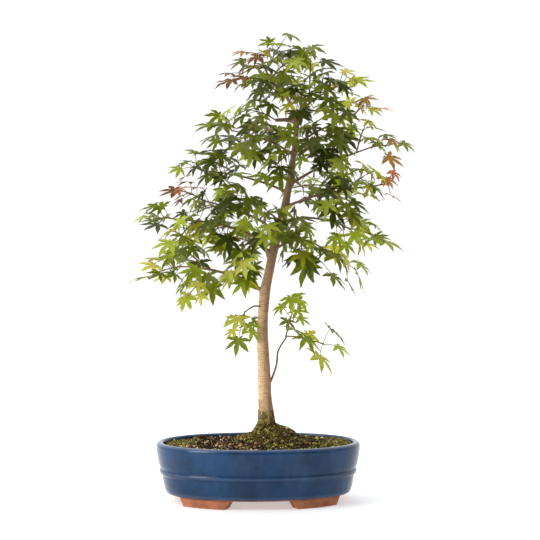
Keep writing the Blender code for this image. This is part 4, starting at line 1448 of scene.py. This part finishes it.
def bark_finish(settings):
    """Smooth pale bark with fine rings and reddish specks, mossy at its foot; painted shade darkens its right
    side towards brown, with more specks and blots there.
    """
    made = Finish("pale_bark")
    brown = made.attribute("tone", 0)
    height = made.height()
    rings = made.cloud(260.0, 4.0, 0.65, (0.35, 0.35, 2.2))
    grain = made.cloud(900.0, 4.0, 0.7, (1.0, 1.0, 0.5))
    clouds = made.cloud(48.0, 4.0, 0.6, (1.0, 1.0, 0.5))
    specks = made.cells(480.0).over(0.30, 0.16)
    blots = made.cloud(210.0, 4.0, 0.7).over(0.56, 0.68)
    normal = made.node("ShaderNodeNewGeometry", out="Normal")
    side = made.node("ShaderNodeSeparateXYZ", None, {0: normal}, out=0)
    pale = tuple(settings.pale_bark)
    colour = made.mix(clouds.over(0.30, 0.70), tuple(part * 0.72 for part in pale), pale)
    colour = made.mix(rings.over(0.46, 0.66) * 0.55, colour, (0.300, 0.150, 0.080))
    # painted shade: bark facing right, away from the key light, is darkened towards brown
    colour = made.mix(side.over(-0.45, 0.65) * 0.72, colour, (0.300, 0.140, 0.070))
    low = 1 - height.over(0.10, 0.36)
    # real specks and blots, laid thicker on the right side as painted shade
    specks_and_shade = specks * (0.45 + side.over(-0.6, 0.6)) * (0.5 + low * 0.5)
    colour = made.mix(specks_and_shade.held(), colour, (0.170, 0.060, 0.030))
    colour = made.mix(blots * (0.25 + side.over(-0.4, 0.7) * 0.60), colour, (0.120, 0.065, 0.028))
    mossy = (1 - height.over(0.100, 0.140)) * clouds.over(0.36, 0.56) + (1 - height.over(0.098, 0.116))
    patches = (made.cloud(330.0, 3.0, 0.6) * 0.65 + grain * 0.35).over(0.44, 0.56)
    moss = made.mix(patches, (0.036, 0.016, 0.004), (0.300, 0.220, 0.016))
    colour = made.mix(mossy.held() * 0.92, colour, moss)
    twig = tuple(settings.dark_bark)
    twig_colour = made.mix(rings, twig, tuple(part * 2.4 for part in twig))
    colour = made.mix(brown, colour, twig_colour)
    return made.done(
        Base_Color=colour,
        Roughness=0.60 + grain * 0.25,
        Normal=made.bump(rings * 0.6 + grain * 0.35 - specks * 0.4 + blots * 0.3, 0.55, 0.0007),
    )


def make_trunk(settings, finish):
    """The trunk, with its root flare, its unevenness and the swellings where limbs leave it."""
    steps = 8
    spine = smooth_path([row[:3] for row in TRUNK], steps)
    girth = [spot.x for spot in smooth_path([(row[3], 0, 0) for row in TRUNK], steps)]
    collars = []
    for limb in LIMBS:
        first, second = (Vector(point) for point in limb.points[:2])
        collars.append((POT_AT + first.lerp(second, COLLAR_ALONG), limb.thick))
    pale_end, brown_end = TRUNK_BROWNS
    solid = Solid()
    loops = []
    for k, (middle, radius) in enumerate(zip(spine, girth)):
        fade = max(0.0, 1.0 - k / steps / 6)
        loop = []
        for i in range(settings.sides):
            turn = 2 * math.pi * i / settings.sides
            around = outward(turn)
            reach = radius * (1 + ROOT_LOBE_DEPTH * fade * math.cos(ROOT_LOBES * turn))
            spot = POT_AT + middle + around * reach
            for across, up, depth in TRUNK_RIPPLES:
                reach += depth * noise.noise(Vector((around.x * across, around.y * across, middle.z * up)))
            for collar, thick in collars:
                distance = (spot - collar).length
                reach += COLLAR_SWELL * thick * math.exp(-(distance / (COLLAR_SPREAD * thick)) ** 2)
            for height, degrees, size in KNOTS:
                away = abs((turn - math.radians(degrees) + math.pi) % (2 * math.pi) - math.pi) * radius
                distance = math.hypot(away, middle.z - height)
                reach += size * math.exp(-(distance / (KNOT_SPREAD * size)) ** 2)
            brown = min(BROWNEST, max(0.0, (middle.z - pale_end) / (brown_end - pale_end)))
            loop.append(solid.point(POT_AT + middle + around * reach, (brown, 0.0, 0.0)))
        loops.append(loop)
    solid.close(loops)
    solid.made("trunk_bark", [finish], "bark", ["trunk_and_branches"], 60)


def make_limbs(finish):
    """The limbs, thick where they leave the trunk and lightly jointed."""
    flare, flare_reach = 0.75, 3.2
    uneven, joints_to_metre = 0.10, 520
    solid = Solid()
    for limb in LIMBS:
        path = [POT_AT + p for p in smooth_path(limb.points, 9)]
        last = len(path) - 1
        brown = LIMB_BROWN.get(limb.name, BROWNEST)
        travelled = 0.0
        radii = []
        for i, spot in enumerate(path):
            travelled += (spot - path[i - 1]).length if i else 0.0
            radius = limb.thick + (limb.thin - limb.thick) * i / last
            joint = max(0.0, math.sin(travelled * joints_to_metre)) ** 8
            radius *= 1 + flare * math.exp(-((travelled / (flare_reach * limb.thick)) ** 2))
            radius *= 1 + uneven * noise.noise(spot * 160) + uneven * joint
            radii.append(radius)
        rings = tube_rings(path, radii, 14)
        loops = []
        for i, ring in enumerate(rings):
            share = min(1.0, brown + 0.25 * i / last)
            loops.append(solid.ring(ring, (share, 0.0, 0.0)))
        for low, high in zip(loops, loops[1:]):
            solid.band(low, high)
        tip = path[-1] + (path[-1] - path[-2]).normalized() * radii[-1] * 0.7
        end = solid.point(tip, (brown, 0.0, 0.0))
        for i, corner in enumerate(loops[-1]):
            solid.face((corner, loops[-1][(i + 1) % len(loops[-1])], end))
        solid.face(loops[0][::-1])
    solid.made("branch_bark", [finish], "bark", ["trunk_and_branches"], 60)


class BONSAI_OT_wood(bpy.types.Operator):
    """Grow the trunk and its limbs"""

    bl_idname = "bonsai.wood"
    bl_label = "Trunk and limbs"

    def execute(self, context):
        settings = context.scene.bonsai_wood
        finish = bark_finish(settings)
        make_trunk(settings, finish)
        make_limbs(finish)
        return {"FINISHED"}


# ---------------------------------------------------------------- leaves
def leaf_finish(name):
    """A thin leaf: veined, glossy above, letting light through, blushing at its edges."""
    surface, through, blush = LEAF_FINISHES[name]
    made = Finish("leaf_" + name)
    across = made.attribute("place", 0)
    along = made.attribute("place", 1)
    shade = made.attribute("tone", 0)
    turn = made.attribute("tone", 1)
    patches = made.cloud(150.0, 4.0, 0.6)
    fine = made.cloud(1300.0, 3.0, 0.6)
    midrib = 1 - across.over(0.02, 0.11)
    ribs = ((along * 9.0 - across * 1.3) * (2 * math.pi)).maths("SINE")
    ribs = ribs.over(0.72, 0.98) * (1 - across.over(0.70, 1.0))
    dark = tuple(part * 0.60 for part in surface)
    light = tuple(min(1.0, part * 1.55 + 0.01) for part in surface)
    vein = tuple(min(1.0, part * 1.9 + 0.03) for part in surface)
    colour = made.mix(shade, dark, light)
    colour = made.mix(patches.over(0.35, 0.70) * 0.5, colour, dark)
    colour = made.mix(turn.over(0.72, 1.0) * 0.6, colour, (surface[0] * 1.7, surface[1] * 1.15, surface[2]))
    edge = across.over(0.55, 1.0) * along.over(0.05, 0.9)
    colour = made.mix(edge * blush, colour, (0.300, 0.060, 0.030))
    colour = made.mix((midrib * 0.42 + ribs * 0.20).held(), colour, vein)
    made.done(
        Base_Color=colour,
        Roughness=0.30 + fine * 0.20,
        Normal=made.bump(midrib * 0.8 + ribs * 0.5 + fine * 0.25, 0.35, 0.0004),
        Specular_IOR_Level=0.20,
    )
    glow = made.node("ShaderNodeBsdfTranslucent", None, {"Color": through})
    solid_part = Value(made, made.shader.outputs[0])
    made.put(made.output.inputs["Surface"], made.node("ShaderNodeMixShader", None, {
        0: LEAF_GLOW, 1: solid_part, 2: glow,
    }))
    return made.material


def stalk_finish(settings):
    made = Finish("stalk")
    grain = made.cloud(700.0, 3.0, 0.6)
    young = made.attribute("tone", 0)
    colour = made.mix(young, tuple(settings.stalk), (0.230, 0.210, 0.040))
    colour = made.mix(grain.over(0.45, 0.75) * 0.6, colour, (0.110, 0.045, 0.020))
    return made.done(
        Base_Color=colour, Roughness=0.50 + grain * 0.2, Normal=made.bump(grain, 0.3, 0.0003)
    )


def add_leaf_blade(solid, leaf, half_thick, finish, tone, rng):
    """The lobed and toothed blade as one closed thin body, folded along each lobe's midrib."""
    fold = rng.uniform(0.10, 0.42)
    ripple = rng.uniform(0.0, 0.03)
    phase = rng.uniform(0, 2 * math.pi)

    def shared(ahead, aside, lift, place):
        """Two points, over and under the blade, or one point at its edge."""
        reach = math.hypot(ahead, aside)
        rise = lift - leaf.curl * reach**2
        spot = leaf.stalk + (leaf.forward * ahead + leaf.right * aside + leaf.up * rise) * leaf.length
        if place[0] == 1.0:
            edge = solid.point(spot, tone, place)
            return edge, edge
        thick = leaf.up * half_thick
        return solid.point(spot + thick, tone, place), solid.point(spot - thick, tone, place)

    def patch(*corners):
        solid.face([over for over, _ in corners], finish)
        solid.face([under for _, under in corners][::-1], finish)

    turns = [turn + rng.uniform(-3, 3) for turn, _, _ in LOBES]
    cut_turns = [-HEART_TURN, *[(a + b) / 2 for a, b in zip(turns, turns[1:])], HEART_TURN]
    cuts = []
    for turn, reach in zip(cut_turns, CUTS):
        angle = math.radians(turn)
        cuts.append(shared(math.cos(angle) * reach, math.sin(angle) * reach, fold * 0.05, (1.0, 0.0, 0.0)))
    heart = shared(0.0, 0.0, 0.0, (0.0, 0.0, 0.0))
    for number, (_, reach, half_width) in enumerate(LOBES):
        angle = math.radians(turns[number])
        ahead, aside = math.cos(angle), math.sin(angle)
        reach *= rng.uniform(0.93, 1.04)
        wide = half_width * rng.uniform(0.86, 1.12)
        sag = rng.uniform(-0.02, 0.10) * reach
        foot = 0.5 * (CUTS[number] + CUTS[number + 1]) * LOBE_FOOT
        left, right = cuts[number], cuts[number + 1]

        def spot(along, off, lift, place, foot=foot, reach=reach, ahead=ahead, aside=aside, sag=sag):
            out = foot + (reach - foot) * along
            lift -= sag * along**2
            return shared(ahead * out - aside * off, aside * out + ahead * off, lift, place)

        middle = spot(0.0, 0.0, 0.0, (0.0, 0.0, 0.0))
        patch(heart, right, middle)
        patch(heart, middle, left)
        for along, share in LOBE_EDGE:
            nudge = ripple * math.sin(along * 11 + phase + number)
            width = wide * share
            rise = fold * width + nudge
            tooth_at, notch_at = along + TOOTH_FORWARD, along + NOTCH_FORWARD
            notch_width, notch_rise = width * TOOTH_NOTCH, rise * TOOTH_NOTCH
            next_middle = spot(along, 0.0, 0.0, (0.0, along, 0.0))
            tooth_right = spot(tooth_at, width, rise, (1.0, along, 0.0))
            tooth_left = spot(tooth_at, -width, rise, (1.0, along, 0.0))
            notch_right = spot(notch_at, notch_width, notch_rise, (1.0, along, 0.0))
            notch_left = spot(notch_at, -notch_width, notch_rise, (1.0, along, 0.0))
            patch(middle, right, tooth_right, next_middle)
            patch(middle, next_middle, tooth_left, left)
            patch(next_middle, tooth_right, notch_right)
            patch(next_middle, notch_left, tooth_left)
            middle, left, right = next_middle, notch_left, notch_right
        tip = spot(1.0, 0.0, 0.0, (1.0, 1.0, 0.0))
        patch(middle, right, tip)
        patch(middle, tip, left)


def make_leafy_shoot(number, shoot, settings, finishes):
    """One shoot with its nodes, its leaf stalks and its leaves, as one piece."""
    rng = random.Random(DETAIL_SEED * 1000 + number)
    solid = Solid()
    stalk_slot = len(LEAF_ORDER)
    centres = [sum(ring, Vector()) / 4 for ring in shoot.rings]
    inward = (centres[0] - centres[1]).normalized()
    path = smooth_path([centres[0] + inward * SHOOT_ROOT, *centres], 5)
    last = len(path) - 1
    nodes = [centres[i].lerp(centres[i + 1], 0.5) for i in range(1, len(centres) - 1, 2)]
    thick, thin = SHOOT_RADII[0] * 0.95, SHOOT_RADII[1] * 0.8
    radii = []
    for i, spot in enumerate(path):
        radius = thick + (thin - thick) * i / last
        for node in nodes:
            radius += NODE_SWELL * math.exp(-(((spot - node).length / NODE_REACH) ** 2))
        radii.append(radius)
    solid.loft(tube_rings(path, radii, 8), stalk_slot)
    stalk_radii = [STALK_THICK - STALK_TAPER * k / STALK_STEPS for k in range(STALK_STEPS + 1)]
    for leaf in shoot.leaves:
        finish = LEAF_ORDER.index(rng.choice(FAMILIES[TONES[number]]))
        tone = (rng.random(), rng.random(), rng.random())
        bend = leaf.root.lerp(leaf.stalk, 0.55) + Vector((0, 0, STALK_ARCH * leaf.length))
        stalk = []
        for k in range(STALK_STEPS + 1):
            t = k / STALK_STEPS
            stalk.append(leaf.root * (1 - t) ** 2 + bend * 2 * t * (1 - t) + leaf.stalk * t**2)
        solid.loft(tube_rings(stalk, stalk_radii, 6), stalk_slot, (rng.random(), 0.0, 0.0))
        add_leaf_blade(solid, leaf, settings.thickness, finish, tone, rng)
    title = f"{number + 1:02d}"
    solid.made(f"leafy_shoot_{title}", finishes, "leaf", [f"leaf_spray_{title}"], 55)


class BONSAI_OT_leaves(bpy.types.Operator):
    """Grow the leafy shoots of the crown"""

    bl_idname = "bonsai.leaves"
    bl_label = "Leafy shoots"

    def execute(self, context):
        settings = context.scene.bonsai_leaf
        finishes = [leaf_finish(name) for name in LEAF_ORDER] + [stalk_finish(settings)]
        for number, shoot in enumerate(grow_sprays()):
            make_leafy_shoot(number, shoot, settings, finishes)
        return {"FINISHED"}


# ---------------------------------------------------------------- stage
# Where the camera looks, from the pot's middle, and the middle of the tree that the lights face.
LOOK_AT = Vector((0.015, 0.0, 0.293))
LIT_MIDDLE = Vector((0.0, 0.0, 0.28))
# The soft lights: their place, their size and their share of the key light's power.
LAMPS = {
    "key_left": ((-1.5, -0.9, 1.1), (0.9, 1.4), 1.0),
    "fill_right": ((1.7, -0.8, 0.8), (0.8, 1.2), 0.06),
    "top": ((-0.2, 0.5, 1.9), (1.2, 1.2), 0.5),
}
# The world: how white it looks, the light felt from the front and from the back, the direction
# that the light comes from, and how far along it the change begins and ends.
SEEN_LIGHT = 1.05
FRONT_LIGHT = 0.12
BACK_LIGHT = 1.20
BRIGHT_SIDE = (-0.30, 1.0, 0.0)
LIGHT_CHANGES = (-0.9, 0.3)


def soft_light(name, spot, target, size, power):
    lamp = bpy.data.lights.new(name, "AREA")
    lamp.shape = "RECTANGLE"
    lamp.size, lamp.size_y = size
    lamp.energy = power
    obj = bpy.data.objects.new(name, lamp)
    obj.location = spot
    obj.rotation_euler = (target - spot).to_track_quat("-Z", "Y").to_euler()
    bpy.context.scene.collection.objects.link(obj)


def make_floor(settings):
    """A wide pale floor that stays near white and takes a faint shadow."""
    finish = Finish("studio_floor")
    tint = finish.cloud(3.0, 2.0)
    colour = finish.mix(tint * 0.05, tuple(settings.floor), (1.0, 1.0, 1.0))
    x, y = (finish.node("ShaderNodeSeparateXYZ", None, {0: finish.where()}, out=part) for part in (0, 1))
    far = (x * x + y * y).over(0.02, 0.60)
    glow = finish.mix(far, (0.68, 0.69, 0.70), (1.0, 1.0, 1.0))
    finish.done(Base_Color=colour, Roughness=0.9, Emission_Color=glow, Emission_Strength=0.66)
    mesh = bpy.data.meshes.new("studio_floor")
    bm = bmesh.new()
    bmesh.ops.create_circle(bm, cap_ends=True, segments=96, radius=12.0)
    bm.to_mesh(mesh)
    bm.free()
    mesh.materials.append(finish.material)
    floor = bpy.data.objects.new("studio_floor", mesh)
    floor.location.z = -0.0002
    bpy.context.scene.collection.objects.link(floor)


def make_world():
    """White behind the tree; the light felt comes from behind, above and the left, less from the front."""
    world = bpy.data.worlds.new("studio")
    world.use_nodes = True
    bpy.context.scene.world = world
    tree = Tree(world.node_tree)
    tree.nodes.clear()
    white = (1.0, 1.0, 1.0)
    where = tree.node("ShaderNodeTexCoord", out="Generated")
    facing = tree.node(
        "ShaderNodeVectorMath", {"operation": "DOT_PRODUCT"}, {0: where, 1: BRIGHT_SIDE}, out="Value"
    )
    strength = tree.node("ShaderNodeMapRange", {"interpolation_type": "SMOOTHSTEP"}, {
        "Value": facing,
        "From Min": LIGHT_CHANGES[0], "From Max": LIGHT_CHANGES[1],
        "To Min": FRONT_LIGHT, "To Max": BACK_LIGHT,
    })
    felt = tree.node("ShaderNodeBackground", None, {"Color": white, "Strength": strength})
    seen = tree.node("ShaderNodeBackground", None, {"Color": white, "Strength": SEEN_LIGHT})
    looked_at = tree.node("ShaderNodeLightPath", out="Is Camera Ray")
    both = tree.node("ShaderNodeMixShader", None, {0: looked_at, 1: felt, 2: seen})
    output = tree.nodes.new("ShaderNodeOutputWorld")
    tree.put(output.inputs["Surface"], both)


class BONSAI_OT_stage(bpy.types.Operator):
    """Set up the camera, the lights and the floor"""

    bl_idname = "bonsai.stage"
    bl_label = "Stage"

    def execute(self, context):
        settings = context.scene.bonsai_stage
        low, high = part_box("pot")
        target = LOOK_AT + Vector(((low.x + high.x) / 2, 0.0, 0.0))
        away = Vector((math.sin(settings.azimuth), -math.cos(settings.azimuth), 0.0))
        camera = bpy.data.cameras.new("camera")
        camera.lens = settings.lens
        camera.sensor_width = 36.0
        viewer = bpy.data.objects.new("camera", camera)
        viewer.location = target + away * settings.distance
        viewer.rotation_euler = (-away).to_track_quat("-Z", "Y").to_euler()
        context.scene.collection.objects.link(viewer)
        context.scene.camera = viewer
        for name, (spot, size, share) in LAMPS.items():
            soft_light(name, Vector(spot), LIT_MIDDLE, size, settings.key_power * share)
        make_world()
        make_floor(settings)
        context.scene.view_settings.view_transform = "Standard"
        return {"FINISHED"}


# ---------------------------------------------------------------- sidebar and start
class BONSAI_PT_build(bpy.types.Panel):
    """The steps of the build, in order"""

    bl_idname = "BONSAI_PT_build"
    bl_label = "Potted Maple Bonsai"
    bl_space_type = "VIEW_3D"
    bl_region_type = "UI"
    bl_category = "Bonsai"

    def draw(self, context):
        for step in STEPS:
            self.layout.operator(step.bl_idname)
        for name, group in SETTINGS.items():
            box = self.layout.box()
            box.label(text=group.__doc__)
            for title in group.__annotations__:
                box.prop(getattr(context.scene, name), title)


STEPS = (
    BONSAI_OT_stage, BONSAI_OT_pot, BONSAI_OT_drainage, BONSAI_OT_soil, BONSAI_OT_moss, BONSAI_OT_wood,
    BONSAI_OT_leaves,
)
SETTINGS = {
    "bonsai_stage": StageSettings,
    "bonsai_pot": PotSettings,
    "bonsai_ground": GroundSettings,
    "bonsai_wood": WoodSettings,
    "bonsai_leaf": LeafSettings,
}


def register():
    for group in SETTINGS.values():
        bpy.utils.register_class(group)
    for step in (*STEPS, BONSAI_PT_build):
        bpy.utils.register_class(step)
    for name, group in SETTINGS.items():
        setattr(bpy.types.Scene, name, bpy.props.PointerProperty(type=group))


def unregister():
    for name in SETTINGS:
        delattr(bpy.types.Scene, name)
    for step in reversed((*STEPS, BONSAI_PT_build)):
        bpy.utils.unregister_class(step)
    for group in SETTINGS.values():
        bpy.utils.unregister_class(group)


def main():
    register()
    for step in STEPS:
        family, name = step.bl_idname.split(".")
        getattr(getattr(bpy.ops, family), name)()


if __name__ == "__main__":
    main()
